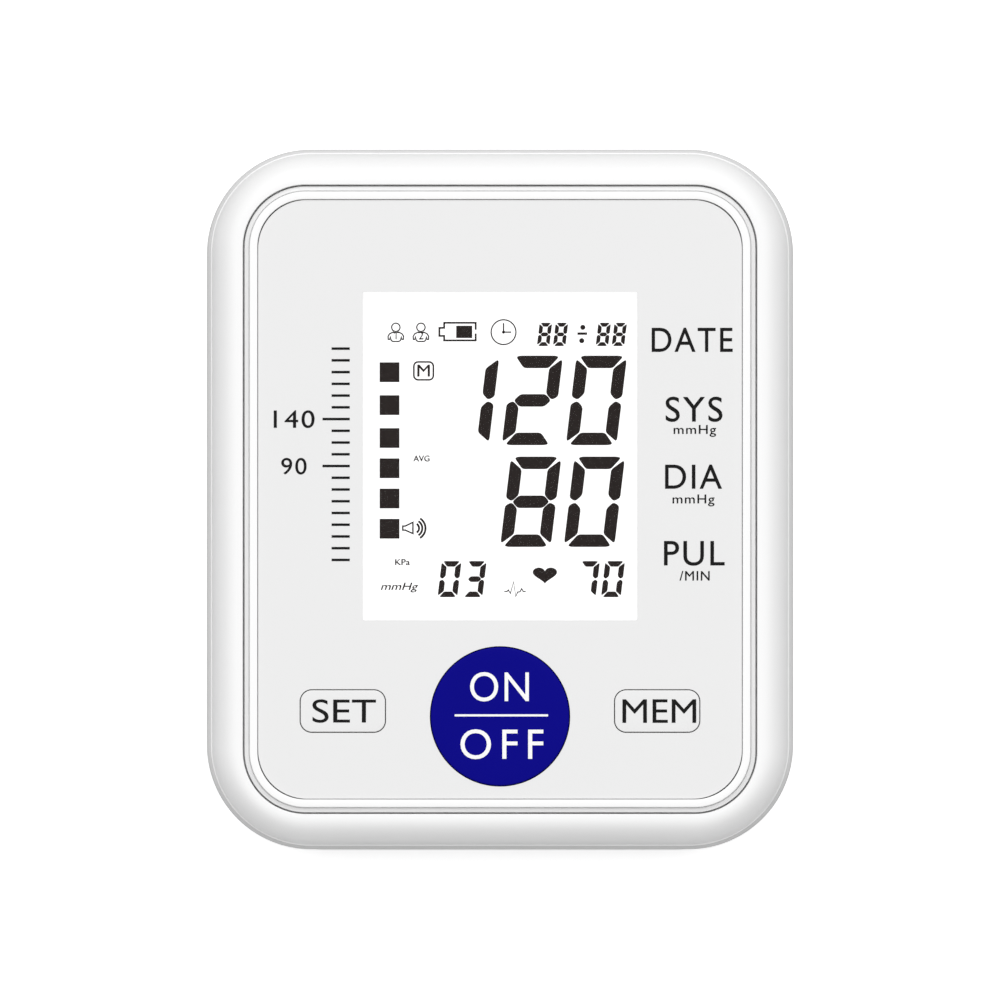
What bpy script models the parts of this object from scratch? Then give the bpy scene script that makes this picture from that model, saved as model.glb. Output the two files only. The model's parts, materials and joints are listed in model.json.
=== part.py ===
"""Upper arm blood pressure monitor: a wedge-shaped desk unit with its display face tilted to the user.

World axes: +X to the user's right, +Y away from the user, +Z up, the table at z = 0.
Face axes, carried by the empty face_frame: x to the right, y up the face, z out of the face, with
z = 0 on the parting plane where the front cover meets the bottom cover.
"""

import math

import bmesh
import bpy
from mathutils import Matrix, Vector

MM = 0.001
GAP = 0.3 * MM  # between pieces that rest on, or sit in, one another

# Housing
TILT = math.radians(10.0)
RIM_HEIGHT = 31.5 * MM  # centre of the parting plane above the table
RIM_WIDTH = 110.0 * MM
RIM_LENGTH = 131.5 * MM
RIM_RADIUS = 19.7 * MM
BASE_HEIGHT = 1.5 * MM  # underside of the base above the table
BASE_RADIUS = 17.0 * MM
BASE_EDGE = 1.6 * MM  # rounding under the base
SIDE_DRAFT = 4.5 * MM  # how far each wall leans in from rim to base
FRONT_DRAFT = 2.85 * MM
REAR_DRAFT = 5.75 * MM
WALL = 2.2 * MM
LIP_HEIGHT = 1.2 * MM
LIP_WIDTH = 1.2 * MM
LIP_ROOT = 3.0 * MM
CORNER_STEPS = 7

# Front cover
COVER_STEP = 0.8 * MM  # its edge lies this far inside the rim
COVER_RADIUS = 18.9 * MM
COVER_WALL = 2.0 * MM
BEZEL_WIDTH = 6.1 * MM
BEZEL_RISE = 8.0 * MM
BEZEL_CREST = 0.7 * MM  # flat top beside the groove
BEZEL_STEPS = 6
OPENING_RADIUS = 11.7 * MM
CHANNEL_FLOOR = 5.0 * MM
DECK_TOP = 6.5 * MM
DECK_UNDERSIDE = 3.4 * MM

# Trim frame and panel
FRAME_LOW_BAND = 0.95 * MM
FRAME_HIGH_BAND = 1.3 * MM
FRAME_LOW_TOP = 7.6 * MM
FRAME_HIGH_TOP = 8.1 * MM
PANEL_THICKNESS = 1.0 * MM

# Display
WINDOW_CENTRE = Vector((0.0, 8.1 * MM))
WINDOW_WIDTH = 51.3 * MM
WINDOW_LENGTH = 61.4 * MM
LENS_OVERLAP = 2.8 * MM  # of the lens under the panel, each side
LENS_THICKNESS = 1.2 * MM
GLASS_THICKNESS = 2.2 * MM
GLASS_LEDGE = 5.4 * MM  # strip of the glass left free for its connector
ZEBRA_WIDTH = 2.5 * MM

# Buttons
POWER_MARGIN = 1.05 * MM  # between its collar and the lens
POWER_RADIUS = 12.85 * MM
POWER_DOME = 0.7 * MM
KEY_SPREAD = 29.4 * MM
KEY_Y = -39.6 * MM
KEY_WIDTH = 15.6 * MM
KEY_LENGTH = 7.6 * MM
KEY_RADIUS = 2.0 * MM
BUTTON_GAP = 0.28 * MM
FLANGE = 1.3 * MM  # how far a button's collar spreads under the deck
FLANGE_THICKNESS = 1.0 * MM
TRAVEL = 0.5 * MM

# Circuit board
BOARD_TOP = -1.3 * MM
BOARD_THICKNESS = 1.6 * MM
BOARD_WIDTH = 78.0 * MM
BOARD_FRONT = -48.0 * MM
BOARD_REAR = 50.0 * MM
BOARD_RADIUS = 3.0 * MM
SWITCH_SIZE = 6.0 * MM
SWITCH_TOP = 1.0 * MM
PLUNGER_RADIUS = 1.6 * MM
BOARD_SCREW_INSET = 3.0 * MM
BOARD_SCREWS_FRONT = -30.0 * MM
BOARD_SCREWS_REAR = 45.0 * MM
BOARD_SCREW_RADIUS = 1.0 * MM
CHIP_CENTRE = Vector((-18.0 * MM, 26.0 * MM))
CHIP_SIZE = 12.0 * MM

# Batteries
CELL_RADIUS = 7.1 * MM
CELL_LENGTH = 50.2 * MM
CELL_SPACING = 0.6 * MM
CELLS = 4
SPRING_LENGTH = 4.8 * MM
CONTACT_THICKNESS = 0.5 * MM
BAY_WALL = 1.3 * MM
BAY_FRONT = -48.5 * MM
COVER_PLATE = 2.0 * MM  # thickness of the battery cover
COVER_OVERLAP = 2.0 * MM  # of the battery cover over the bay walls
PIVOT_HEIGHT = 1.1 * MM  # pivot above the base's underside
PIVOT_RADIUS = 0.5 * MM
PIVOT_TAB = 1.4 * MM
TONGUE_THICKNESS = 1.2 * MM  # of the cover's latch
TONGUE_HALF = 6.0 * MM
TONGUE_REACH = 2.0 * MM

# Air line, pump and valve
LINE_CLEARANCE = 2.2 * MM  # between the battery bay and the valve
LINE_Z = 14.0 * MM
NIPPLE_RADIUS = 1.5 * MM
TUBE_WALL = 1.0 * MM
SOCKET_RADIUS = 6.2 * MM
SOCKET_BORE = 4.0 * MM
SOCKET_DEPTH = 12.0 * MM
MANIFOLD_X = 2.0 * MM
MANIFOLD_LENGTH = 12.0 * MM
MANIFOLD_RADIUS = 4.0 * MM
MOTOR_RADIUS = 12.0 * MM
MOTOR_LENGTH = 28.7 * MM
SLEEVE_WALL = 2.0 * MM
SLEEVE_LENGTH = 18.0 * MM
HEAD_LENGTH = 21.0 * MM
HEAD_SIZE = 26.0 * MM
HEAD_START = -8.0 * MM  # x where the head meets the motor
CRADLE_RISE = 1.7 * MM  # of the pump's sleeve above the floor
SHAFT_RADIUS = 1.0 * MM
ECCENTRIC_RADIUS = 5.0 * MM
ECCENTRICITY = 1.5 * MM
VALVE_START = 22.0 * MM
VALVE_LENGTH = 18.0 * MM
VALVE_RADIUS = 6.5 * MM
VALVE_PIN = 1.8 * MM
VALVE_TRAVEL = 0.6 * MM
SENSOR_SIZE = 8.0 * MM
SENSOR_HEIGHT = 5.0 * MM
SENSOR_NOZZLE = 4.8 * MM

# Speaker, supply port, feet, screws
SPEAKER_X = 27.5 * MM
SPEAKER_MARGIN = 18.0 * MM  # from the base's rear edge
SPEAKER_RADIUS = 12.0 * MM
SPEAKER_HEIGHT = 4.5 * MM
GRILLE_HOLE = 0.9 * MM
GRILLE_PITCH = 3.6 * MM
PORT_MARGIN = 23.0 * MM  # from the base's rear edge
PORT_Z = 22.0 * MM
PORT_WIDTH = 9.0 * MM
PORT_HEIGHT = 3.3 * MM
PORT_DEPTH = 9.5 * MM
PORT_SHELL = 0.4 * MM
PORT_BOARD_THICKNESS = 1.2 * MM
FOOT_RADIUS = 5.0 * MM
FOOT_POCKET = 0.8 * MM
FOOT_FRONT_MARGIN = 24.9 * MM
FOOT_REAR_MARGIN = 28.0 * MM
BOSS_RADIUS = 3.6 * MM
BOSS_INSET = 12.0 * MM
BOSS_MARGIN = 11.9 * MM  # from the base's front and rear edges
CASE_SCREW_RADIUS = 1.3 * MM
CASE_HEAD_RADIUS = 2.6 * MM
CASE_HEAD_HEIGHT = 2.0 * MM
SEAT_DEPTH = 6.0 * MM  # screw head seat above the base's underside

# Places that follow from the sizes above
BASE_WIDTH = RIM_WIDTH - 2 * SIDE_DRAFT
BASE_FRONT = -RIM_LENGTH / 2 * math.cos(TILT) + FRONT_DRAFT
BASE_REAR = RIM_LENGTH / 2 * math.cos(TILT) - REAR_DRAFT
FLOOR_TOP = BASE_HEIGHT + WALL
COVER_WIDTH = RIM_WIDTH - 2 * COVER_STEP
COVER_LENGTH = RIM_LENGTH - 2 * COVER_STEP
FRAME_WIDTH = COVER_WIDTH - 2 * BEZEL_WIDTH - 2 * GAP
FRAME_LENGTH = COVER_LENGTH - 2 * BEZEL_WIDTH - 2 * GAP
FRAME_RADIUS = OPENING_RADIUS - GAP
FRAME_BAND = FRAME_LOW_BAND + FRAME_HIGH_BAND
PANEL_BOTTOM = DECK_TOP + GAP
PANEL_TOP = PANEL_BOTTOM + PANEL_THICKNESS
LENS_WIDTH = WINDOW_WIDTH + 2 * LENS_OVERLAP
LENS_LENGTH = WINDOW_LENGTH + 2 * LENS_OVERLAP
GLASS_TOP = DECK_TOP - LENS_THICKNESS - GAP
GLASS_BOTTOM = GLASS_TOP - GLASS_THICKNESS
BOARD_BOTTOM = BOARD_TOP - BOARD_THICKNESS
BOARD_SCREW_X = BOARD_WIDTH / 2 - BOARD_SCREW_INSET
BOARD_SCREWS = (
    (-BOARD_SCREW_X, BOARD_SCREWS_REAR),
    (BOARD_SCREW_X, BOARD_SCREWS_REAR),
    (-BOARD_SCREW_X, BOARD_SCREWS_FRONT),
)
FLANGE_TOP = DECK_UNDERSIDE - GAP
FLANGE_BOTTOM = FLANGE_TOP - FLANGE_THICKNESS
CELL_PITCH = 2 * CELL_RADIUS + CELL_SPACING
BAY_HALF = CELL_PITCH * (CELLS - 1) / 2 + CELL_RADIUS + 0.7 * MM
BAY_LENGTH = CELL_LENGTH + SPRING_LENGTH + 2 * CONTACT_THICKNESS + 5 * GAP
BAY_REAR = BAY_FRONT + BAY_LENGTH
BAY_BACK = BAY_REAR + BAY_WALL
CELL_Z = BASE_HEIGHT + COVER_PLATE + GAP + CELL_RADIUS
BAY_CEILING = CELL_Z + CELL_RADIUS + GAP
PIVOT = Vector((0.0, BAY_FRONT - COVER_OVERLAP, BASE_HEIGHT + PIVOT_HEIGHT))
FOOT_X = (BAY_HALF + COVER_OVERLAP + BASE_WIDTH / 2) / 2  # midway from battery cover to edge
FEET_Y = (BASE_FRONT + FOOT_FRONT_MARGIN, BASE_REAR - FOOT_REAR_MARGIN)
BOSS_X = RIM_WIDTH / 2 - BOSS_INSET
BOSSES_Y = (BASE_FRONT + BOSS_MARGIN, BASE_REAR - BOSS_MARGIN)
LINE_Y = BAY_BACK + LINE_CLEARANCE + VALVE_RADIUS
SLEEVE_RADIUS = MOTOR_RADIUS + GAP + SLEEVE_WALL
PUMP_Y = BASE_REAR - WALL - GAP - HEAD_SIZE / 2
PUMP_Z = FLOOR_TOP + CRADLE_RISE + SLEEVE_RADIUS
SPEAKER_CENTRE = Vector((SPEAKER_X, BASE_REAR - SPEAKER_MARGIN))
PORT_Y = BASE_REAR - PORT_MARGIN
POWER_CENTRE = Vector((0, WINDOW_CENTRE.y - LENS_LENGTH / 2 - POWER_MARGIN - FLANGE - POWER_RADIUS))
TUBE_RADIUS = NIPPLE_RADIUS + GAP + TUBE_WALL
KEYS = {"set": Vector((-KEY_SPREAD, KEY_Y)), "mem": Vector((KEY_SPREAD, KEY_Y))}
BUTTONS = {"power": POWER_CENTRE, **KEYS}

UP = Matrix.Identity(3)
ALONG_X = Matrix.Rotation(math.radians(90), 3, "Y")  # turns +Z to +X
ALONG_Y = Matrix.Rotation(math.radians(-90), 3, "X")  # turns +Z to +Y


def clear_scene():
    for obj in list(bpy.data.objects):
        bpy.data.objects.remove(obj)


def new_collection(name, hidden=False):
    made = bpy.data.collections.new(name)
    bpy.context.scene.collection.children.link(made)
    made.hide_render = hidden
    return made


clear_scene()
PARTS = new_collection("blood_pressure_monitor")
CUTTERS = new_collection("cutters", hidden=True)

FACE = bpy.data.objects.new("face_frame", None)
FACE.location = (0, 0, RIM_HEIGHT)
FACE.rotation_euler = (TILT, 0, 0)
PARTS.objects.link(FACE)
FACE_MATRIX = Matrix.Translation(FACE.location) @ Matrix.Rotation(TILT, 4, "X")


def new_material(name, colour, roughness, metallic=0.0, alpha=1.0):
    made = bpy.data.materials.new(name)
    made.use_nodes = True
    shader = made.node_tree.nodes["Principled BSDF"]
    shader.inputs["Base Color"].default_value = (*colour, 1.0)
    shader.inputs["Roughness"].default_value = roughness
    shader.inputs["Metallic"].default_value = metallic
    shader.inputs["Alpha"].default_value = alpha
    made.diffuse_color = (*colour, alpha)
    return made


def finish(name, colour, roughness, metallic=0.0, alpha=1.0):
    """The material of one sub-part, named for it."""
    return new_material(name + "_finish", colour, roughness, metallic, alpha)


# Meshes


def to_mesh(name, bm):
    bmesh.ops.remove_doubles(bm, verts=bm.verts, dist=1e-6)
    bmesh.ops.recalc_face_normals(bm, faces=bm.faces)
    mesh = bpy.data.meshes.new(name)
    bm.to_mesh(mesh)
    bm.free()
    mesh.shade_smooth()
    mesh.set_sharp_from_angle(angle=math.radians(35))
    return mesh


def rounded(width, length, radius, steps=CORNER_STEPS):
    """Outline of a rounded rectangle about the origin, anticlockwise from its right side."""
    points = []
    for corner, (sx, sy) in enumerate(((1, 1), (-1, 1), (-1, -1), (1, -1))):
        cx = sx * (width / 2 - radius)
        cy = sy * (length / 2 - radius)
        for step in range(steps + 1):
            angle = math.radians(90 * (corner + step / steps))
            points.append(Vector((cx + radius * math.cos(angle), cy + radius * math.sin(angle))))
    return points


def circle(radius, steps=32):
    angles = [2 * math.pi * step / steps for step in range(steps)]
    return [Vector((radius * math.cos(a), radius * math.sin(a))) for a in angles]


def moved(outline, centre):
    return [point + centre for point in outline]


def at_height(outline, height):
    return [Vector((point.x, point.y, height)) for point in outline]


def loft_mesh(name, rings):
    """A closed body through rings with the same number of points, capped at both ends."""
    bm = bmesh.new()
    rows = [[bm.verts.new(point) for point in ring] for ring in rings]
    count = len(rows[0])
    for low, high in zip(rows, rows[1:]):
        for i in range(count):
            j = (i + 1) % count
            bm.faces.new((low[i], low[j], high[j], high[i]))
    bm.faces.new(rows[0])
    bm.faces.new(rows[-1])
    return to_mesh(name, bm)


def band_mesh(name, rings):
    """A closed ring-shaped body: the rings run round its section and the last meets the first."""
    bm = bmesh.new()
    rows = [[bm.verts.new(point) for point in ring] for ring in rings]
    count = len(rows[0])
    for low, high in zip(rows, rows[1:] + rows[:1]):
        for i in range(count):
            j = (i + 1) % count
            bm.faces.new((low[i], low[j], high[j], high[i]))
    return to_mesh(name, bm)


def box_mesh(name, low, high):
    bm = bmesh.new()
    bmesh.ops.create_cube(bm, size=1.0)
    low, high = Vector(low), Vector(high)
    bmesh.ops.scale(bm, vec=high - low, verts=bm.verts)
    bmesh.ops.translate(bm, vec=(low + high) / 2, verts=bm.verts)
    return to_mesh(name, bm)


def rod_mesh(name, radius, start, length, turn=UP, sides=24):
    """A cylinder from start, running length along the turned +Z."""
    bm = bmesh.new()
    bmesh.ops.create_cone(
        bm, cap_ends=True, segments=sides, radius1=radius, radius2=radius, depth=length
    )
    bmesh.ops.translate(bm, vec=(0, 0, length / 2), verts=bm.verts)
    bmesh.ops.transform(bm, matrix=Matrix.Translation(start) @ turn.to_4x4(), verts=bm.verts)
    return to_mesh(name, bm)


def plate_mesh(name, outlines, low, high):
    """A flat plate between two heights; outlines after the first are holes."""
    curve = bpy.data.curves.new(name, "CURVE")
    curve.dimensions = "2D"
    curve.fill_mode = "BOTH"
    curve.extrude = (high - low) / 2
    for outline in outlines:
        spline = curve.splines.new("POLY")
        spline.points.add(len(outline) - 1)
        spline.use_cyclic_u = True
        for point, place in zip(spline.points, outline):
            point.co = (place.x, place.y, 0, 1)
    guide = bpy.data.objects.new(name, curve)
    bpy.context.scene.collection.objects.link(guide)
    graph = bpy.context.evaluated_depsgraph_get()
    raw = bpy.data.meshes.new_from_object(guide.evaluated_get(graph))
    bpy.data.objects.remove(guide)
    bm = bmesh.new()
    bm.from_mesh(raw)
    bmesh.ops.translate(bm, vec=(0, 0, (low + high) / 2), verts=bm.verts)
    return to_mesh(name, bm)


def tube_mesh(name, points, radius, sides=2, capped=True):
    """A round bar or, uncapped, a bare tube surface along a run of points."""
    curve = bpy.data.curves.new(name, "CURVE")
    curve.dimensions = "3D"
    curve.bevel_depth = radius
    curve.bevel_resolution = sides
    curve.use_fill_caps = capped
    spline = curve.splines.new("POLY")
    spline.points.add(len(points) - 1)
    for point, place in zip(spline.points, points):
        point.co = (*place, 1)
    guide = bpy.data.objects.new(name, curve)
    bpy.context.scene.collection.objects.link(guide)
    graph = bpy.context.evaluated_depsgraph_get()
    raw = bpy.data.meshes.new_from_object(guide.evaluated_get(graph))
    bpy.data.objects.remove(guide)
    bm = bmesh.new()
    bm.from_mesh(raw)
    return to_mesh(name, bm)


# Objects


def add(name, mesh, material, parent=None, location=(0, 0, 0)):
    obj = bpy.data.objects.new(name, mesh)
    obj.location = location
    obj.parent = parent
    if material:
        mesh.materials.append(material)
    PARTS.objects.link(obj)
    return obj


def turned(name, profile, material, parent=None, location=(0, 0, 0), turn=UP, steps=24):
    """A turned piece from (radius, height) points that run down its outer side."""
    bm = bmesh.new()
    verts = [bm.verts.new((radius, 0, height)) for radius, height in profile]
    ends = list(zip(verts, verts[1:]))
    if profile[0][0] > 0:
        ends.append((verts[-1], verts[0]))
    for pair in ends:
        bm.edges.new(pair)
    mesh = bpy.data.meshes.new(name)
    bm.to_mesh(mesh)
    bm.free()
    obj = add(name, mesh, material, parent, location)
    obj.rotation_euler = turn.to_euler()
    screw = obj.modifiers.new("turn", "SCREW")
    screw.steps = steps
    screw.render_steps = steps
    screw.use_merge_vertices = True
    screw.merge_threshold = 1e-6
    screw.use_smooth_shade = True
    return obj


def helper(mesh, parent=None):
    """A cutter, or a shape that another piece takes in."""
    obj = bpy.data.objects.new("cut_" + mesh.name, mesh)
    obj.parent = parent
    obj.hide_render = True
    obj.display_type = "WIRE"
    CUTTERS.objects.link(obj)
    return obj


def combine(obj, mesh, operation, parent=None):
    step = obj.modifiers.new(mesh.name, "BOOLEAN")
    step.operation = operation
    step.object = helper(mesh, parent)


def cut(obj, mesh, parent=None):
    combine(obj, mesh, "DIFFERENCE", parent)


def join(obj, mesh, parent=None):
    combine(obj, mesh, "UNION", parent)


# Housing


def rim_ring(inset, height):
    """A ring in face axes, inset from the rim, in world coordinates."""
    outline = rounded(RIM_WIDTH - 2 * inset, RIM_LENGTH - 2 * inset, RIM_RADIUS - inset)
    return [FACE_MATRIX @ point for point in at_height(outline, height)]


def base_ring(inset, height):
    length = BASE_REAR - BASE_FRONT - 2 * inset
    outline = rounded(BASE_WIDTH - 2 * inset, length, BASE_RADIUS - inset)
    return at_height(moved(outline, Vector((0, (BASE_FRONT + BASE_REAR) / 2))), height)


def parting_height(y):
    """World height of the parting plane at a world y."""
    return RIM_HEIGHT + y * math.tan(TILT)


def side_wall(y, z):
    """World x of the outside of the right wall."""
    low = BASE_HEIGHT + BASE_EDGE
    share = (z - low) / (parting_height(y) - low)
    return BASE_WIDTH / 2 + SIDE_DRAFT * share


def boss_places():
    return [(side * BOSS_X, y) for y in BOSSES_Y for side in (-1, 1)]


def build_bottom_cover():
    inner_lip = COVER_STEP + COVER_WALL + GAP
    edge = [math.radians(angle) for angle in (0, 30, 60, 90)]
    rings = [
        base_ring(BASE_EDGE * (1 - math.sin(a)), BASE_HEIGHT + BASE_EDGE * (1 - math.cos(a)))
        for a in edge
    ]
    rings += [
        rim_ring(0, -GAP),
        rim_ring(inner_lip, -GAP),
        rim_ring(inner_lip, LIP_HEIGHT),
        rim_ring(inner_lip + LIP_WIDTH, LIP_HEIGHT),
        rim_ring(inner_lip + LIP_WIDTH, -LIP_ROOT),
        rim_ring(WALL, -2 * LIP_ROOT),
        base_ring(WALL, FLOOR_TOP + BASE_EDGE),
        base_ring(WALL + BASE_EDGE, FLOOR_TOP),
    ]
    white = finish("bottom_cover", (0.9, 0.9, 0.89), 0.35)
    cover = add("bottom_cover", loft_mesh("bottom_cover", rings), white)
    add_battery_bay(cover)
    add_cradles(cover)
    for x, y in boss_places():
        top = parting_height(y) - 2 * MM
        join(cover, rod_mesh("lower_boss", BOSS_RADIUS, (x, y, FLOOR_TOP - MM), top - FLOOR_TOP + MM))
    for x, y in boss_places():
        well = CASE_HEAD_RADIUS + 2 * GAP
        hole = CASE_SCREW_RADIUS + 1.5 * GAP
        cut(cover, rod_mesh("screw_well", well, (x, y, -MM), BASE_HEIGHT + SEAT_DEPTH + MM))
        cut(cover, rod_mesh("screw_hole", hole, (x, y, 0), 1.5 * RIM_HEIGHT, sides=16))
    for x in (-FOOT_X, FOOT_X):
        for y in FEET_Y:
            depth = BASE_HEIGHT + FOOT_POCKET + MM
            cut(cover, rod_mesh("foot_pocket", FOOT_RADIUS + GAP, (x, y, -MM), depth))
    start = (-RIM_WIDTH, LINE_Y, LINE_Z)
    cut(cover, rod_mesh("socket_hole", SOCKET_RADIUS + GAP, start, RIM_WIDTH * 0.7, ALONG_X))
    cut(cover, port_hole())
    for x, y in grille_places():
        cut(cover, rod_mesh("grille_hole", GRILLE_HOLE, (x, y, 0), FLOOR_TOP + MM, sides=10))
    return cover


def add_battery_bay(cover):
    """The bay's walls and ceiling, the recess that the battery cover fills, and its pivot pockets."""
    recess_x = BAY_HALF + COVER_OVERLAP + GAP
    wall_x = recess_x + BAY_WALL
    rear = BAY_REAR + COVER_OVERLAP + GAP
    front = PIVOT.y - 1.5 * MM
    ledge = BASE_HEIGHT + COVER_PLATE + GAP
    block = box_mesh(
        "bay_block",
        (-wall_x, front - BAY_WALL, BASE_HEIGHT + MM),
        (wall_x, rear + BAY_WALL, BAY_CEILING + BAY_WALL),
    )
    join(cover, block)
    cut(cover, box_mesh("cover_recess", (-recess_x, front, -MM), (recess_x, rear, ledge)))
    cut(cover, box_mesh("bay_room", (-BAY_HALF, BAY_FRONT, 0), (BAY_HALF, BAY_REAR, BAY_CEILING)))
    pocket = 2 * (recess_x - GAP + PIVOT_TAB + GAP)
    start = (-pocket / 2, PIVOT.y, PIVOT.z)
    cut(cover, rod_mesh("pivot_pocket", PIVOT_RADIUS + GAP, start, pocket, ALONG_X, sides=16))
    notch_x = TONGUE_HALF + 2 * GAP
    notch_top = BASE_HEIGHT + TONGUE_THICKNESS + GAP
    high = (notch_x, rear + TONGUE_REACH + GAP, notch_top)
    cut(cover, box_mesh("latch_notch", (-notch_x, rear - MM, -MM), high))


def add_cradles(cover):
    """Ribs on the floor that carry the pump, the valve, the manifold, the speaker and the port board."""
    sleeve_mid = HEAD_START - MOTOR_LENGTH / 2
    seat = FLOOR_TOP - MM
    for x in (sleeve_mid - SLEEVE_LENGTH / 3, sleeve_mid + SLEEVE_LENGTH / 3):
        low = (x - 0.8 * MM, PUMP_Y - MOTOR_RADIUS, seat)
        high = (x + 0.8 * MM, PUMP_Y + MOTOR_RADIUS, PUMP_Z - MOTOR_RADIUS / 2)
        join(cover, box_mesh("pump_rib", low, high))
    hollow = rod_mesh(
        "pump_hollow",
        SLEEVE_RADIUS + GAP,
        (HEAD_START - MOTOR_LENGTH, PUMP_Y, PUMP_Z),
        MOTOR_LENGTH,
        ALONG_X,
    )
    cut(cover, hollow)
    head_mid = HEAD_START + HEAD_LENGTH / 2
    low = (head_mid - 3 * MM, PUMP_Y - 8 * MM, seat)
    high = (head_mid + 3 * MM, PUMP_Y + 8 * MM, PUMP_Z - HEAD_SIZE / 2 - GAP)
    join(cover, box_mesh("head_rib", low, high))
    valve_mid = VALVE_START + VALVE_LENGTH / 2
    low = (valve_mid - 1.5 * MM, LINE_Y - VALVE_RADIUS + MM, seat)
    high = (valve_mid + 1.5 * MM, LINE_Y + VALVE_RADIUS - MM, LINE_Z - VALVE_RADIUS / 2)
    join(cover, box_mesh("valve_rib", low, high))
    start = (VALVE_START, LINE_Y, LINE_Z)
    cut(cover, rod_mesh("valve_hollow", VALVE_RADIUS + GAP, start, VALVE_LENGTH, ALONG_X))
    low = (MANIFOLD_X - 3 * MM, LINE_Y - 3 * MM, seat)
    high = (MANIFOLD_X + 3 * MM, LINE_Y + 3 * MM, LINE_Z - MANIFOLD_RADIUS - GAP)
    join(cover, box_mesh("manifold_post", low, high))
    collar = SPEAKER_RADIUS + GAP
    rings = [circle(collar + MM), circle(collar)]
    centred = [moved(ring, SPEAKER_CENTRE) for ring in rings]
    join(cover, plate_mesh("speaker_collar", centred, seat, FLOOR_TOP + SPEAKER_HEIGHT / 2))
    for dy in (-3.5 * MM, 3.5 * MM):
        top = PORT_Z - PORT_HEIGHT / 2 - 2 * GAP - PORT_BOARD_THICKNESS
        start = (port_board_x() + 3 * MM, PORT_Y + dy, seat)
        join(cover, rod_mesh("port_post", 1.6 * MM, start, top - seat, sides=16))


def grille_places():
    """Holes on a triangular pitch within the speaker."""
    places = []
    for row in range(-2, 3):
        shift = GRILLE_PITCH / 2 if row % 2 else 0
        for column in range(-3, 4):
            x = column * GRILLE_PITCH + shift
            y = row * GRILLE_PITCH * math.sin(math.radians(60))
            if math.hypot(x, y) < SPEAKER_RADIUS - 3.5 * MM:
                places.append((SPEAKER_CENTRE.x + x, SPEAKER_CENTRE.y + y))
    return places


def cover_ring(inset, height):
    share = min(inset / BEZEL_WIDTH, 1.0)
    radius = COVER_RADIUS + (OPENING_RADIUS - COVER_RADIUS) * share - max(inset - BEZEL_WIDTH, 0)
    return at_height(rounded(COVER_WIDTH - 2 * inset, COVER_LENGTH - 2 * inset, radius), height)


def build_front_cover():
    span = BEZEL_WIDTH - BEZEL_CREST
    plateau = BEZEL_WIDTH + 2 * GAP + FRAME_BAND + GAP
    rings = [
        cover_ring(2.2 * COVER_WALL, DECK_UNDERSIDE),
        cover_ring(1.1 * COVER_WALL, LIP_HEIGHT + 2 * GAP),
        cover_ring(COVER_WALL, 0),
        cover_ring(0, 0),
    ]
    for step in range(1, BEZEL_STEPS + 1):
        angle = math.radians(90) * step / BEZEL_STEPS
        rings.append(cover_ring(span * (1 - math.cos(angle)), BEZEL_RISE * math.sin(angle)))
    rings += [
        cover_ring(BEZEL_WIDTH - 0.2 * MM, BEZEL_RISE - 0.05 * MM),
        cover_ring(BEZEL_WIDTH, BEZEL_RISE - 0.3 * MM),
        cover_ring(BEZEL_WIDTH, CHANNEL_FLOOR),
        cover_ring(plateau, CHANNEL_FLOOR),
        cover_ring(plateau, DECK_TOP),
    ]
    white = finish("front_cover", (0.93, 0.93, 0.93), 0.25)
    cover = add("front_cover", loft_mesh("front_cover", rings), white, FACE)
    for x, y in boss_places():
        foot = parting_height(y) - 2 * MM + GAP
        length = RIM_HEIGHT + y / math.cos(TILT) * math.sin(TILT) + DECK_UNDERSIDE + MM - foot
        join(cover, rod_mesh("upper_boss", BOSS_RADIUS, (x, y, foot), length))
        hole = CASE_SCREW_RADIUS + GAP
        cut(cover, rod_mesh("upper_hole", hole, (x, y, foot - MM), length - 0.5 * MM, sides=16))
    for x, y in BOARD_SCREWS:
        low = BOARD_TOP + GAP
        boss = rod_mesh("board_boss", 2.6 * MM, (x, y, low), DECK_UNDERSIDE + MM - low)
        join(cover, boss, FACE)
        hole = BOARD_SCREW_RADIUS + GAP
        cut(cover, rod_mesh("board_boss_hole", hole, (x, y, low - MM), 5 * MM, sides=16), FACE)
    window = rounded(LENS_WIDTH + 2 * GAP, LENS_LENGTH + 2 * GAP, MM, 2)
    low, high = DECK_UNDERSIDE - MM, DECK_TOP + MM
    cut(cover, plate_mesh("deck_window", [moved(window, WINDOW_CENTRE)], low, high), FACE)
    for button, centre in BUTTONS.items():
        hole = button_outline(button, BUTTON_GAP + GAP)
        cut(cover, plate_mesh("deck_hole_" + button, [moved(hole, centre)], low, high), FACE)
    return cover


def frame_outline(inset):
    return rounded(FRAME_WIDTH - 2 * inset, FRAME_LENGTH - 2 * inset, FRAME_RADIUS - inset)


def build_display_frame():
    steps = (
        (0, CHANNEL_FLOOR + GAP),
        (0, FRAME_LOW_TOP - 0.2 * MM),
        (0.2 * MM, FRAME_LOW_TOP),
        (FRAME_LOW_BAND, FRAME_LOW_TOP),
        (FRAME_LOW_BAND + 0.15 * MM, FRAME_HIGH_TOP - 0.1 * MM),
        (FRAME_LOW_BAND + 0.4 * MM, FRAME_HIGH_TOP),
        (FRAME_BAND - 0.3 * MM, FRAME_HIGH_TOP),
        (FRAME_BAND, FRAME_HIGH_TOP - 0.2 * MM),
        (FRAME_BAND, CHANNEL_FLOOR + GAP),
    )
    rings = [at_height(frame_outline(inset), height) for inset, height in steps]
    white = finish("display_frame", (0.97, 0.97, 0.97), 0.22)
    add("display_frame", band_mesh("display_frame", rings), white, FACE)


def button_outline(button, spread=0.0):
    if button == "power":
        return circle(POWER_RADIUS + spread, 48)
    return rounded(KEY_WIDTH + 2 * spread, KEY_LENGTH + 2 * spread, KEY_RADIUS + spread, 5)


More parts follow.
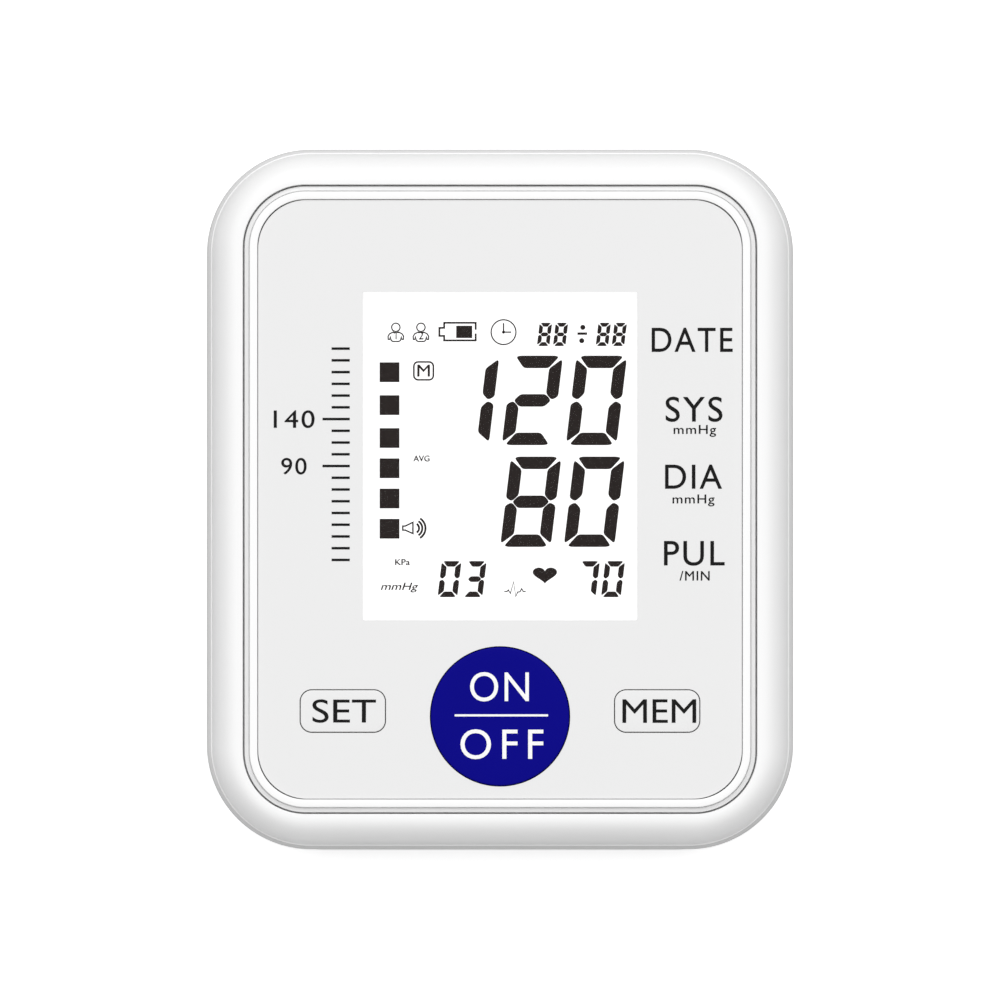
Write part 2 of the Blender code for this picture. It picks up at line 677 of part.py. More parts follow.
def build_panel():
    window = moved(rounded(WINDOW_WIDTH, WINDOW_LENGTH, 0.3 * MM, 1), WINDOW_CENTRE)
    holes = [moved(button_outline(name, BUTTON_GAP), centre) for name, centre in BUTTONS.items()]
    outlines = [frame_outline(FRAME_BAND + GAP), window, *holes]
    mesh = plate_mesh("face_panel", outlines, PANEL_BOTTOM, PANEL_TOP)
    add("face_panel", mesh, finish("face_panel", (0.85, 0.85, 0.86), 0.35), FACE)


# Display


def build_display():
    lens = moved(rounded(LENS_WIDTH, LENS_LENGTH, 0.7 * MM, 2), WINDOW_CENTRE)
    mesh = plate_mesh("display_lens", [lens], DECK_TOP - LENS_THICKNESS, DECK_TOP)
    add("display_lens", mesh, finish("display_lens", (0.98, 0.98, 0.98), 0.05, alpha=0.15), FACE)
    half_x, half_y = LENS_WIDTH / 2 - GAP, LENS_LENGTH / 2 - GAP
    low_y, high_y = WINDOW_CENTRE.y - half_y, WINDOW_CENTRE.y + half_y
    glass = box_mesh("lcd_glass", (-half_x, low_y, GLASS_BOTTOM), (half_x, high_y, GLASS_TOP))
    add("lcd_glass", glass, finish("lcd_glass", (0.95, 0.96, 0.95), 0.15), FACE)
    top, bottom = GLASS_BOTTOM - GAP, BOARD_TOP + GAP
    block = box_mesh("lcd_backlight", (-half_x, low_y + GLASS_LEDGE, bottom), (half_x, high_y, top))
    add("lcd_backlight", block, finish("lcd_backlight", (0.9, 0.92, 0.95), 0.4), FACE)
    start = low_y + (GLASS_LEDGE - ZEBRA_WIDTH) / 2
    half_x -= 2 * MM
    strip = box_mesh("zebra_strip", (-half_x, start, bottom), (half_x, start + ZEBRA_WIDTH, top))
    add("zebra_strip", strip, finish("zebra_strip", (0.35, 0.12, 0.16), 0.8), FACE)


# Buttons


def build_button(name, centre, colour):
    """A cap with a collar under the deck and a stem down to its switch."""
    collar = button_outline(name, FLANGE)
    cap = button_outline(name)
    rings = [at_height(collar, FLANGE_BOTTOM), at_height(collar, FLANGE_TOP), at_height(cap, FLANGE_TOP)]
    if name == "power":
        shoulder = PANEL_TOP - GAP
        rings.append(at_height(cap, shoulder))
        for angle in (20, 45, 70):
            share = 0.6 + 0.4 * math.cos(math.radians(angle))
            rise = POWER_DOME * math.sin(math.radians(angle))
            rings.append(at_height([point * share for point in cap], shoulder + rise))
    else:
        rings.append(at_height(cap, PANEL_TOP - 0.2 * MM))
        rings.append(at_height([point * 0.985 for point in cap], PANEL_TOP))
    plastic = finish(name + "_button", colour, 0.3)
    button = add(name + "_button", loft_mesh(name + "_button", rings), plastic, FACE)
    button.location = (centre.x, centre.y, 0)
    stem_end = SWITCH_TOP + 0.6 * MM + GAP
    stem = rod_mesh(name + "_stem", 2.0 * MM, (centre.x, centre.y, stem_end), FLANGE_TOP - stem_end, sides=16)
    join(button, stem, FACE)


def build_switch(name, centre):
    """A tact switch on the board: a body with a well, and the plunger that the button's stem drives."""
    half = SWITCH_SIZE / 2
    low = (centre.x - half, centre.y - half, BOARD_TOP + GAP)
    high = (centre.x + half, centre.y + half, SWITCH_TOP)
    mesh = box_mesh(name + "_switch", low, high)
    body = add(name + "_switch", mesh, finish(name + "_switch", (0.06, 0.06, 0.06), 0.5), FACE)
    floor = BOARD_TOP + 2 * GAP
    well = rod_mesh(name + "_well", PLUNGER_RADIUS + GAP, (centre.x, centre.y, floor), 5 * MM, sides=16)
    cut(body, well, FACE)
    bottom = floor + TRAVEL + 0.15 * MM
    length = SWITCH_TOP + 0.6 * MM - bottom
    pin = rod_mesh(name + "_plunger", PLUNGER_RADIUS, (0, 0, bottom), length, sides=16)
    plunger = add(name + "_plunger", pin, finish(name + "_plunger", (0.8, 0.5, 0.1), 0.5), FACE)
    plunger.location = (centre.x, centre.y, 0)


def build_buttons():
    colours = {"power": (0.003, 0.0, 0.25), "set": (0.85, 0.85, 0.86), "mem": (0.85, 0.85, 0.86)}
    for name, centre in BUTTONS.items():
        build_button(name, centre, colours[name])
        build_switch(name, centre)


# Circuit board and what it carries


def build_board():
    length = BOARD_REAR - BOARD_FRONT
    middle = Vector((0, (BOARD_REAR + BOARD_FRONT) / 2))
    outline = moved(rounded(BOARD_WIDTH, length, BOARD_RADIUS, 4), middle)
    holes = [moved(circle(BOARD_SCREW_RADIUS + 1.5 * GAP, 16), Vector(place)) for place in BOARD_SCREWS]
    mesh = plate_mesh("main_pcb", [outline, *holes], BOARD_BOTTOM, BOARD_TOP)
    add("main_pcb", mesh, finish("main_pcb", (0.02, 0.18, 0.07), 0.45), FACE)
    half = CHIP_SIZE / 2
    top = BOARD_BOTTOM - GAP
    low = (CHIP_CENTRE.x - half, CHIP_CENTRE.y - half, top - 1.6 * MM)
    chip = box_mesh("microcontroller", low, (CHIP_CENTRE.x + half, CHIP_CENTRE.y + half, top))
    add("microcontroller", chip, finish("microcontroller", (0.03, 0.03, 0.03), 0.5), FACE)
    for number, (x, y) in enumerate(BOARD_SCREWS, 1):
        head = BOARD_BOTTOM - GAP
        profile = [
            (0, head + 5.4 * MM),
            (BOARD_SCREW_RADIUS, head + 4.6 * MM),
            (BOARD_SCREW_RADIUS, head),
            (2.1 * MM, head),
            (2.1 * MM, head - 0.7 * MM),
            (1.5 * MM, head - 1.1 * MM),
            (0, head - 1.1 * MM),
        ]
        colour = finish("pcb_screw_%d" % number, (0.6, 0.6, 0.62), 0.3, 1.0)
        turned("pcb_screw_%d" % number, profile, colour, FACE, (x, y, 0), steps=16)


def sensor_place():
    """Face-frame y that brings the sensor's nozzle over the air line, and the nozzle's end."""
    end = BOARD_BOTTOM - GAP - SENSOR_HEIGHT - SENSOR_NOZZLE
    y = (LINE_Y + end * math.sin(TILT)) / math.cos(TILT)
    return y, end


def build_sensor():
    y, end = sensor_place()
    half = SENSOR_SIZE / 2
    top = BOARD_BOTTOM - GAP
    low = (MANIFOLD_X - half, y - half, top - SENSOR_HEIGHT)
    mesh = box_mesh("pressure_sensor", low, (MANIFOLD_X + half, y + half, top))
    sensor = add("pressure_sensor", mesh, finish("pressure_sensor", (0.9, 0.9, 0.88), 0.4), FACE)
    start = (MANIFOLD_X, y, end)
    join(sensor, rod_mesh("sensor_nozzle", NIPPLE_RADIUS, start, SENSOR_NOZZLE + MM, sides=16), FACE)


# Air line


def build_air_socket():
    """The cuff's plug goes into the bore, and the tube on the nipple behind it. Gives the nipple's root."""
    mouth = -side_wall(LINE_Y, LINE_Z) - 1.1 * MM
    depth = SOCKET_DEPTH + 2 * MM
    inner_wall = side_wall(LINE_Y, LINE_Z - SOCKET_RADIUS - 2 * MM) - WALL
    collar = mouth + inner_wall - GAP
    # Heights run from the mouth into the case, so they fall along +X.
    profile = [
        (SOCKET_BORE, 0),
        (SOCKET_RADIUS, 0),
        (SOCKET_RADIUS, collar),
        (SOCKET_RADIUS + 1.8 * MM, collar),
        (SOCKET_RADIUS + 1.8 * MM, collar - 1.5 * MM),
        (SOCKET_RADIUS - 0.8 * MM, collar - 1.5 * MM),
        (SOCKET_RADIUS - 0.8 * MM, -depth),
        (NIPPLE_RADIUS, -depth),
        (NIPPLE_RADIUS, -depth - 5 * MM),
        (0, -depth - 5 * MM),
    ]
    profile = [(0, -SOCKET_DEPTH), (SOCKET_BORE, -SOCKET_DEPTH)] + profile
    turn = Matrix.Rotation(math.radians(-90), 3, "Y")
    grey = finish("air_socket", (0.75, 0.76, 0.77), 0.4)
    turned("air_socket", profile, grey, None, (mouth, LINE_Y, LINE_Z), turn)
    return mouth + depth


def build_tube(name, points):
    """A silicone tube: a bare surface at its outer radius, thickened inwards."""
    mesh = tube_mesh(name, points, TUBE_RADIUS, capped=False)
    tube = add(name, mesh, finish(name, (0.85, 0.86, 0.85), 0.5))
    wall = tube.modifiers.new("wall", "SOLIDIFY")
    wall.thickness = TUBE_WALL
    wall.offset = -1


def build_air_line(socket_end):
    start = MANIFOLD_X - MANIFOLD_LENGTH / 2
    end = MANIFOLD_X + MANIFOLD_LENGTH / 2
    body = rod_mesh("air_manifold", MANIFOLD_RADIUS, (start, LINE_Y, LINE_Z), MANIFOLD_LENGTH, ALONG_X)
    manifold = add("air_manifold", body, finish("air_manifold", (0.9, 0.9, 0.9), 0.4))
    reach = 4 * MM
    place = (start - reach, LINE_Y, LINE_Z)
    length = MANIFOLD_LENGTH + 2 * reach
    join(manifold, rod_mesh("line_nipples", NIPPLE_RADIUS, place, length, ALONG_X, 16))
    middle = (MANIFOLD_X, LINE_Y, LINE_Z)
    length = MANIFOLD_RADIUS + 3 * MM
    join(manifold, rod_mesh("pump_nipple", NIPPLE_RADIUS, middle, length, ALONG_Y, 16))
    length = MANIFOLD_RADIUS + 2.5 * MM
    join(manifold, rod_mesh("top_nipple", NIPPLE_RADIUS, middle, length, UP, 16))
    build_tube("socket_tube", [(socket_end + GAP, LINE_Y, LINE_Z), (start - GAP, LINE_Y, LINE_Z)])
    build_tube("valve_tube", [(end + GAP, LINE_Y, LINE_Z), (VALVE_START - GAP, LINE_Y, LINE_Z)])
    head_front = PUMP_Y - HEAD_SIZE / 2
    side = LINE_Y + MANIFOLD_RADIUS
    build_tube("pump_tube", [(MANIFOLD_X, side + GAP, LINE_Z), (MANIFOLD_X, head_front - GAP, LINE_Z)])
    y, end = sensor_place()
    top = FACE_MATRIX @ Vector((MANIFOLD_X, y, end + SENSOR_NOZZLE - GAP))
    tip = FACE_MATRIX @ Vector((MANIFOLD_X, y, end))
    low = LINE_Z + MANIFOLD_RADIUS + GAP
    route = [(MANIFOLD_X, LINE_Y, low), (MANIFOLD_X, LINE_Y, low + 2 * MM), tip, top]
    build_tube("sensor_tube", route)


def build_pump():
    """A motor in a rubber sleeve, a square head, and the shaft whose eccentric works the diaphragm."""
    start = HEAD_START - GAP - MOTOR_LENGTH
    can = rod_mesh("pump_motor", MOTOR_RADIUS, (start, PUMP_Y, PUMP_Z), MOTOR_LENGTH, ALONG_X, 32)
    motor = add("pump_motor", can, finish("pump_motor", (0.7, 0.7, 0.72), 0.3, 1.0))
    bore_start = (HEAD_START - 13 * MM, PUMP_Y, PUMP_Z)
    cut(motor, rod_mesh("shaft_bore", SHAFT_RADIUS + GAP, bore_start, 15 * MM, ALONG_X, 16))
    inner = MOTOR_RADIUS + GAP
    profile = [
        (inner, SLEEVE_LENGTH),
        (SLEEVE_RADIUS, SLEEVE_LENGTH),
        (SLEEVE_RADIUS, 0),
        (inner, 0),
    ]
    sleeve_start = HEAD_START - MOTOR_LENGTH / 2 - SLEEVE_LENGTH / 2
    place = (sleeve_start, PUMP_Y, PUMP_Z)
    turned("pump_sleeve", profile, finish("pump_sleeve", (0.05, 0.05, 0.05), 0.8), None, place, ALONG_X, 32)

    outline = rounded(HEAD_SIZE, HEAD_SIZE, 3 * MM, 3)
    ends = (HEAD_START, HEAD_START + HEAD_LENGTH)
    rings = [[Vector((x, PUMP_Y + point.x, PUMP_Z + point.y)) for point in outline] for x in ends]
    ivory = finish("pump_head", (0.85, 0.85, 0.83), 0.45)
    head = add("pump_head", loft_mesh("pump_head", rings), ivory)
    room = ECCENTRIC_RADIUS + ECCENTRICITY + 1.5 * MM
    cut(head, rod_mesh("crank_room", room, (HEAD_START - MM, PUMP_Y, PUMP_Z), 11 * MM, ALONG_X))
    front = PUMP_Y - HEAD_SIZE / 2
    join(head, rod_mesh("outlet", NIPPLE_RADIUS, (MANIFOLD_X, front - 3 * MM, LINE_Z), 4 * MM, ALONG_Y, 16))

    shaft = rod_mesh("pump_eccentric", SHAFT_RADIUS, (HEAD_START - 12 * MM, 0, 0), 20 * MM, ALONG_X, 16)
    rotor = add("pump_eccentric", shaft, finish("pump_eccentric", (0.8, 0.8, 0.8), 0.3, 1.0))
    rotor.location = (0, PUMP_Y, PUMP_Z)
    wheel = (HEAD_START + 1.5 * MM, PUMP_Y, PUMP_Z + ECCENTRICITY)
    join(rotor, rod_mesh("eccentric_wheel", ECCENTRIC_RADIUS, wheel, 5 * MM, ALONG_X, 24))


def build_valve():
    body_mesh = rod_mesh("valve_body", VALVE_RADIUS, (VALVE_START, LINE_Y, LINE_Z), VALVE_LENGTH, ALONG_X)
    body = add("valve_body", body_mesh, finish("valve_body", (0.12, 0.12, 0.13), 0.45))
    start = (VALVE_START - 4 * MM, LINE_Y, LINE_Z)
    nipple = rod_mesh("valve_nipple", NIPPLE_RADIUS, start, 5 * MM, ALONG_X, 16)
    join(body, nipple)
    end = VALVE_START + VALVE_LENGTH
    reach = 12 * MM
    cut(body, rod_mesh("pin_bore", VALVE_PIN + GAP, (end - reach, LINE_Y, LINE_Z), reach + MM, ALONG_X, 16))
    start = end - reach + VALVE_TRAVEL + GAP
    pin = rod_mesh("valve_plunger", VALVE_PIN, (start - end, 0, 0), end - start + 1.5 * MM, ALONG_X, 16)
    plunger = add("valve_plunger", pin, finish("valve_plunger", (0.75, 0.75, 0.77), 0.25, 1.0))
    plunger.location = (end, LINE_Y, LINE_Z)


# Batteries


def build_cell(number, flipped):
    x = CELL_PITCH * (number - (CELLS + 1) / 2)
    nub = 1.4 * MM
    length = CELL_LENGTH
    profile = [
        (0, length),
        (2.7 * MM, length),
        (2.7 * MM, length - nub),
        (CELL_RADIUS - 0.6 * MM, length - nub),
        (CELL_RADIUS, length - nub - 0.6 * MM),
        (CELL_RADIUS, 0.5 * MM),
        (CELL_RADIUS - 0.5 * MM, 0),
        (0, 0),
    ]
    front = BAY_FRONT + CONTACT_THICKNESS + 2 * GAP
    colour = finish("battery_cell_%d" % number, (0.25, 0.26, 0.3), 0.35, 0.6)
    if flipped:
        place = (x, front + CELL_LENGTH, CELL_Z)
        turn = Matrix.Rotation(math.radians(90), 3, "X")
    else:
        place = (x, front + SPRING_LENGTH + GAP, CELL_Z)
        turn = ALONG_Y
    turned("battery_cell_%d" % number, profile, colour, None, place, turn, 24)


def build_spring(number, flipped):
    """A conical coil between the contact plate and the flat end of the cell."""
    x = CELL_PITCH * (number - (CELLS + 1) / 2)
    wire = 0.4 * MM
    turns, per_turn = 3, 10
    base, tip = 4.2 * MM, 2.6 * MM
    front = BAY_FRONT + CONTACT_THICKNESS + 2 * GAP
    rear = BAY_REAR - CONTACT_THICKNESS - 2 * GAP
    points = []
    for step in range(turns * per_turn + 1):
        share = step / (turns * per_turn)
        angle = 2 * math.pi * turns * share
        radius = base + (tip - base) * share
        along = wire + (SPRING_LENGTH - 2 * wire - GAP) * share
        y = rear - along if flipped else front + along
        points.append((x + radius * math.cos(angle), y, CELL_Z + radius * math.sin(angle)))
    name = "battery_spring_%d" % number
    add(name, tube_mesh(name, points, wire), finish(name, (0.8, 0.78, 0.72), 0.3, 1.0))


def build_contact(name, cells, front):
    """A plate at one end of the bay that spans one cell or links two."""
    half = CELL_RADIUS - 1.2 * MM
    low_x = CELL_PITCH * (cells[0] - (CELLS + 1) / 2) - half
    high_x = CELL_PITCH * (cells[-1] - (CELLS + 1) / 2) + half
    low_y = BAY_FRONT + GAP if front else BAY_REAR - GAP - CONTACT_THICKNESS
    low = (low_x, low_y, CELL_Z - half)
    high = (high_x, low_y + CONTACT_THICKNESS, CELL_Z + half)
    add(name, box_mesh(name, low, high), finish(name, (0.8, 0.78, 0.72), 0.3, 1.0))


def build_batteries():
    for number in range(1, CELLS + 1):
        flipped = number % 2 == 0
        build_cell(number, flipped)
        build_spring(number, flipped)
    build_contact("contact_front_1", (1, 2), True)
    build_contact("contact_front_2", (3, 4), True)
    build_contact("contact_rear_1", (1,), False)
    build_contact("contact_rear_2", (2, 3), False)
    build_contact("contact_rear_3", (4,), False)


def build_battery_cover():
    """A plate flush with the base that turns on two tabs at its front edge."""
    half = BAY_HALF + COVER_OVERLAP
    rear = BAY_REAR + COVER_OVERLAP
    low = Vector((-half, -0.5 * MM, BASE_HEIGHT - PIVOT.z))
    high = Vector((half, rear - PIVOT.y, low.z + COVER_PLATE))
    mesh = box_mesh("battery_cover", low, high)
    cover = add("battery_cover", mesh, finish("battery_cover", (0.9, 0.9, 0.89), 0.4))
    cover.location = PIVOT
    span = 2 * (half + PIVOT_TAB)
    join(cover, rod_mesh("pivot_tabs", PIVOT_RADIUS, (-span / 2, PIVOT.y, PIVOT.z), span, ALONG_X, 16))
    low = (-TONGUE_HALF, rear - MM, BASE_HEIGHT)
    high = (TONGUE_HALF, rear + TONGUE_REACH, BASE_HEIGHT + TONGUE_THICKNESS)
    join(cover, box_mesh("latch_tongue", low, high))
    for step in range(4):
        y = rear - 5 * MM - step * 2 * MM
        groove = box_mesh("grip_groove", (-9 * MM, y, 0), (9 * MM, y + MM, BASE_HEIGHT + 0.5 * MM))
        cut(cover, groove)


# Speaker, supply port, feet, screws


def build_speaker():
    base = FLOOR_TOP + GAP
    profile = [
        (0, SPEAKER_HEIGHT),
        (5 * MM, SPEAKER_HEIGHT),
        (5.5 * MM, 2 * MM),
        (SPEAKER_RADIUS, 1.4 * MM),
        (SPEAKER_RADIUS, 0),
        (SPEAKER_RADIUS - 1.5 * MM, 0),
        (SPEAKER_RADIUS - 2 * MM, 0.6 * MM),
        (3 * MM, 1.4 * MM),
        (0, 1.0 * MM),
    ]
    place = (SPEAKER_CENTRE.x, SPEAKER_CENTRE.y, base)
    turned("speaker", profile, finish("speaker", (0.1, 0.1, 0.1), 0.6), None, place, UP, 32)


def port_board_x():
    return side_wall(PORT_Y, PORT_Z) - PORT_DEPTH - 2 * MM


def port_ring(spread, x):
    width = PORT_WIDTH + 2 * spread
    height = PORT_HEIGHT + 2 * spread
    outline = rounded(width, height, height / 2 - 0.1 * MM, 5)
    return [Vector((x, PORT_Y + point.x, PORT_Z + point.y)) for point in outline]


def port_hole():
    return loft_mesh("port_hole", [port_ring(GAP, RIM_WIDTH * 0.4), port_ring(GAP, RIM_WIDTH)])


def build_port():
    """A metal shell open at its mouth with the contact tongue inside, on a small board of its own."""
    mouth = side_wall(PORT_Y, PORT_Z) + 0.2 * MM
    start = mouth - PORT_DEPTH
    outside = [port_ring(0, start), port_ring(0, mouth)]
    inside = [port_ring(-PORT_SHELL, mouth), port_ring(-PORT_SHELL, start + MM)]
    metal = finish("usb_port", (0.7, 0.7, 0.72), 0.25, 1.0)
    port = add("usb_port", loft_mesh("usb_port", outside + inside), metal)
    tongue_low = (start + 0.5 * MM, PORT_Y - 3 * MM, PORT_Z - 0.35 * MM)
    tongue_high = (mouth - 1.5 * MM, PORT_Y + 3 * MM, PORT_Z + 0.35 * MM)
    join(port, box_mesh("port_tongue", tongue_low, tongue_high))
    top = PORT_Z - PORT_HEIGHT / 2 - GAP
    inner = side_wall(PORT_Y, top) - WALL - 2 * GAP
    low = (port_board_x(), PORT_Y - 6 * MM, top - PORT_BOARD_THICKNESS)
    board = box_mesh("port_board", low, (inner, PORT_Y + 6 * MM, top))
    add("port_board", board, finish("port_board", (0.02, 0.18, 0.07), 0.45))


def build_feet():
    top = BASE_HEIGHT + FOOT_POCKET - GAP
    number = 0
    for y in FEET_Y:
        for x in (-FOOT_X, FOOT_X):
            number += 1
            profile = [
                (0, top),
                (FOOT_RADIUS, top),
                (FOOT_RADIUS, 0.5 * MM),
                (FOOT_RADIUS - 0.5 * MM, 0),
                (0, 0),
            ]
            name = "foot_%d" % number
            turned(name, profile, finish(name, (0.2, 0.2, 0.2), 0.8), None, (x, y, 0), steps=28)


def build_case_screws():
    seat = BASE_HEIGHT + SEAT_DEPTH - GAP
    for number, (x, y) in enumerate(boss_places(), 1):
        tip = parting_height(y) + 2 * MM
        profile = [
            (0, tip),
            (CASE_SCREW_RADIUS, tip - 1.2 * MM),
            (CASE_SCREW_RADIUS, seat),
            (CASE_HEAD_RADIUS, seat),
            (CASE_HEAD_RADIUS, seat - 0.6 * CASE_HEAD_HEIGHT),
            (0.7 * CASE_HEAD_RADIUS, seat - CASE_HEAD_HEIGHT),
            (0, seat - CASE_HEAD_HEIGHT),
        ]
        name = "case_screw_%d" % number
        steel = finish(name, (0.6, 0.6, 0.62), 0.3, 1.0)
        screw = turned(name, profile, steel, None, (x, y, 0), steps=16)
        for half_x, half_y in ((1.5 * MM, 0.3 * MM), (0.3 * MM, 1.5 * MM)):
            low = (x - half_x, y - half_y, 0)
            high = (x + half_x, y + half_y, seat - CASE_HEAD_HEIGHT + 0.9 * MM)
            cut(screw, box_mesh("cross_slot", low, high))


build_bottom_cover()
build_front_cover()
build_display_frame()
build_panel()
build_display()
build_buttons()
build_board()
build_sensor()
build_air_line(build_air_socket())
build_pump()
build_valve()
build_batteries()
build_battery_cover()
build_speaker()
build_port()
build_feet()
build_case_screws()
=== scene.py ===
import json
import math

import bmesh
import bpy
from mathutils import Matrix, Vector


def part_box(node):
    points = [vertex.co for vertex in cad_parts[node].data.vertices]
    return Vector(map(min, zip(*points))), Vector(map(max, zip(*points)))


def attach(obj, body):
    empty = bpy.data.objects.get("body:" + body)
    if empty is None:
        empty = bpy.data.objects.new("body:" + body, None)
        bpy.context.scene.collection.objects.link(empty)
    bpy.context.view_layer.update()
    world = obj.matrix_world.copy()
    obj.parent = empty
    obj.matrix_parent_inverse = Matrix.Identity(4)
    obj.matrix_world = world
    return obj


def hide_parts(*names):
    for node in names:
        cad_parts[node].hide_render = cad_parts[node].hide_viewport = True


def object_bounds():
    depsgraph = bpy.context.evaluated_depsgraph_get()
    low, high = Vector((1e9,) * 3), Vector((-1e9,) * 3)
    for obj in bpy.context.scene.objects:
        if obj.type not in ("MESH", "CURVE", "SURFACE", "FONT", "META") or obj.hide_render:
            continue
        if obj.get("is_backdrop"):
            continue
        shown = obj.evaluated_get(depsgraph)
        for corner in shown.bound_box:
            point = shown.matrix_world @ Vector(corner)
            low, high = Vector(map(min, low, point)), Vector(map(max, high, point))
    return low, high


# Upper arm blood pressure monitor: the finish of every piece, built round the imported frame.
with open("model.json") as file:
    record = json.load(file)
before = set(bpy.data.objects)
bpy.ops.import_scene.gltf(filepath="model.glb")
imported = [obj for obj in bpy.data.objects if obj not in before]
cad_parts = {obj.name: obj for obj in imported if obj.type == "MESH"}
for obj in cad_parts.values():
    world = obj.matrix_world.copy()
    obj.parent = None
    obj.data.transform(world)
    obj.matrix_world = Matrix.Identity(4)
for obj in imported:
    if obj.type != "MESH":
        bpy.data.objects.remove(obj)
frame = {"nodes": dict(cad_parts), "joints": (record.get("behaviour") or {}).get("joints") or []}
cadLow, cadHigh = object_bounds()
nodes = frame["nodes"]
mm = 0.001
print("frame loaded:", len(nodes), "nodes")


# Axes of the display face: x to the right, y up the face, z out of it from the panel's top.
pressJoint = next(joint for joint in frame["joints"] if joint["name"] == "power_press")
faceOut = -Vector(pressJoint["axis"]).normalized()
faceUp = faceOut.cross(Vector((1, 0, 0)))
faceTurn = Matrix((Vector((1, 0, 0)), faceUp, faceOut)).transposed().to_4x4()
tilt = math.asin(-faceOut.y)
worldPlace = Matrix.Identity(4)


def boxIn(name, matrix):
    # lowest and highest corner of a node in other axes
    inverse = matrix.inverted()
    points = [inverse @ vertex.co for vertex in nodes[name].data.vertices]
    low = Vector([min(point[i] for point in points) for i in range(3)])
    high = Vector([max(point[i] for point in points) for i in range(3)])
    return low, high


panelLow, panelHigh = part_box("face_panel")
facePlace = Matrix.Translation((panelLow + panelHigh) / 2) @ faceTurn
panelTop = boxIn("face_panel", facePlace)[1].z
facePlace = facePlace @ Matrix.Translation((0, 0, panelTop))


def faceBox(name):
    return boxIn(name, facePlace)


def middleOf(name):
    low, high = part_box(name)
    return (low + high) / 2


def numbered(name, count=4):
    return ["%s_%d" % (name, number) for number in range(1, count + 1)]


# Camera, lights and floor

studio = {
    "cameraDistance": 4.0,
    "frameWidth": 187.23 * mm,  # what the picture spans at the face
    "aimHeight": -0.12 * mm,
    "aimDepth": -3.8 * mm,
    "floorSize": 30.0,
    "zenith": 1.76,
    "horizon": 0.30,
    "frontShade": 0.30,
    "backdrop": 1.05,
    "softboxPower": 10.5,
    "floorBounce": 0.62,
    "floorGrey": 0.9,
    "floorLift": 0.5,
    "softboxSize": 1.6,
    "softboxDistance": 2.2,
}


def inScene(name, data):
    made = bpy.data.objects.new(name, data)
    bpy.context.scene.collection.objects.link(made)
    return made


cameraData = bpy.data.cameras.new("studioCamera")
camera = inScene("studioCamera", cameraData)
aim = facePlace @ Vector((0, studio["aimHeight"], studio["aimDepth"]))
camera.matrix_world = Matrix.Translation(aim + faceOut * studio["cameraDistance"]) @ faceTurn
cameraData.sensor_width = 36.0
cameraData.lens = cameraData.sensor_width * studio["cameraDistance"] / studio["frameWidth"]
cameraData.clip_end = 100.0
bpy.context.scene.camera = camera
bpy.context.scene.view_settings.view_transform = "Standard"


def addNode(tree, kind, inputs=None, **settings):
    # a node with its settings, and its inputs either set or joined to another node's output
    made = tree.nodes.new(kind)
    for key, value in settings.items():
        setattr(made, key, value)
    for key, value in (inputs or {}).items():
        if isinstance(value, bpy.types.NodeSocket):
            tree.links.new(value, made.inputs[key])
        else:
            made.inputs[key].default_value = value
    return made


def outOf(tree, kind, inputs=None, **settings):
    return addNode(tree, kind, inputs, **settings).outputs[0]


def numberNode(tree, operation, first, second=0.0):
    return outOf(tree, "ShaderNodeMath", {0: first, 1: second}, operation=operation)


def byRay(tree, lighting, shown):
    # one shader for the camera's own rays and another for all the rest
    seen = addNode(tree, "ShaderNodeLightPath").outputs["Is Camera Ray"]
    return outOf(tree, "ShaderNodeMixShader", {0: seen, 1: lighting, 2: shown})


def buildWorld():
    world = bpy.data.worlds.new("studioSky")
    bpy.context.scene.world = world
    world.use_nodes = True
    tree = world.node_tree
    tree.nodes.clear()
    direction = addNode(tree, "ShaderNodeTexCoord").outputs["Generated"]
    parts = addNode(tree, "ShaderNodeSeparateXYZ", {0: direction}).outputs
    upward = {"Value": parts["Z"], "To Min": studio["horizon"], "To Max": studio["zenith"]}
    height = outOf(tree, "ShaderNodeMapRange", upward, interpolation_type="SMOOTHSTEP")
    dim = 1.0 - studio["frontShade"]
    rearward = {"Value": parts["Y"], "From Min": -1.0, "From Max": 0.3, "To Min": dim, "To Max": 1.0}
    shade = outOf(tree, "ShaderNodeMapRange", rearward, interpolation_type="SMOOTHSTEP")
    strength = numberNode(tree, "MULTIPLY", height, shade)
    light = outOf(tree, "ShaderNodeBackground", {"Strength": strength})
    plain = outOf(tree, "ShaderNodeBackground", {"Strength": studio["backdrop"]})
    addNode(tree, "ShaderNodeOutputWorld", {"Surface": byRay(tree, light, plain)})


def buildSoftbox():
    data = bpy.data.lights.new("softbox", "AREA")
    data.shape = "DISK"
    data.size = studio["softboxSize"]
    data.energy = studio["softboxPower"]
    box = inScene("softbox", data)
    towards = (faceOut + faceUp).normalized()
    box.location = aim + towards * studio["softboxDistance"]
    box.rotation_euler = towards.to_track_quat("Z", "Y").to_euler()


def buildFloor():
    bm = bmesh.new()
    bmesh.ops.create_grid(bm, x_segments=1, y_segments=1, size=studio["floorSize"] / 2)
    mesh = bpy.data.meshes.new("floor")
    bm.to_mesh(mesh)
    bm.free()
    material = bpy.data.materials.new("studioFloor")
    material.use_nodes = True
    tree = material.node_tree
    tree.nodes.clear()
    matt, pale = [
        outOf(tree, "ShaderNodeBsdfDiffuse", {"Color": (grey, grey, grey, 1)})
        for grey in (studio["floorBounce"], studio["floorGrey"])
    ]
    lift = outOf(tree, "ShaderNodeEmission", {"Strength": studio["floorLift"]})
    lit = outOf(tree, "ShaderNodeAddShader", {0: pale, 1: lift})
    addNode(tree, "ShaderNodeOutputMaterial", {"Surface": byRay(tree, matt, lit)})
    mesh.materials.append(material)
    inScene("floor", mesh)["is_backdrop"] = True


buildWorld()
buildSoftbox()
buildFloor()
print("studio ready")
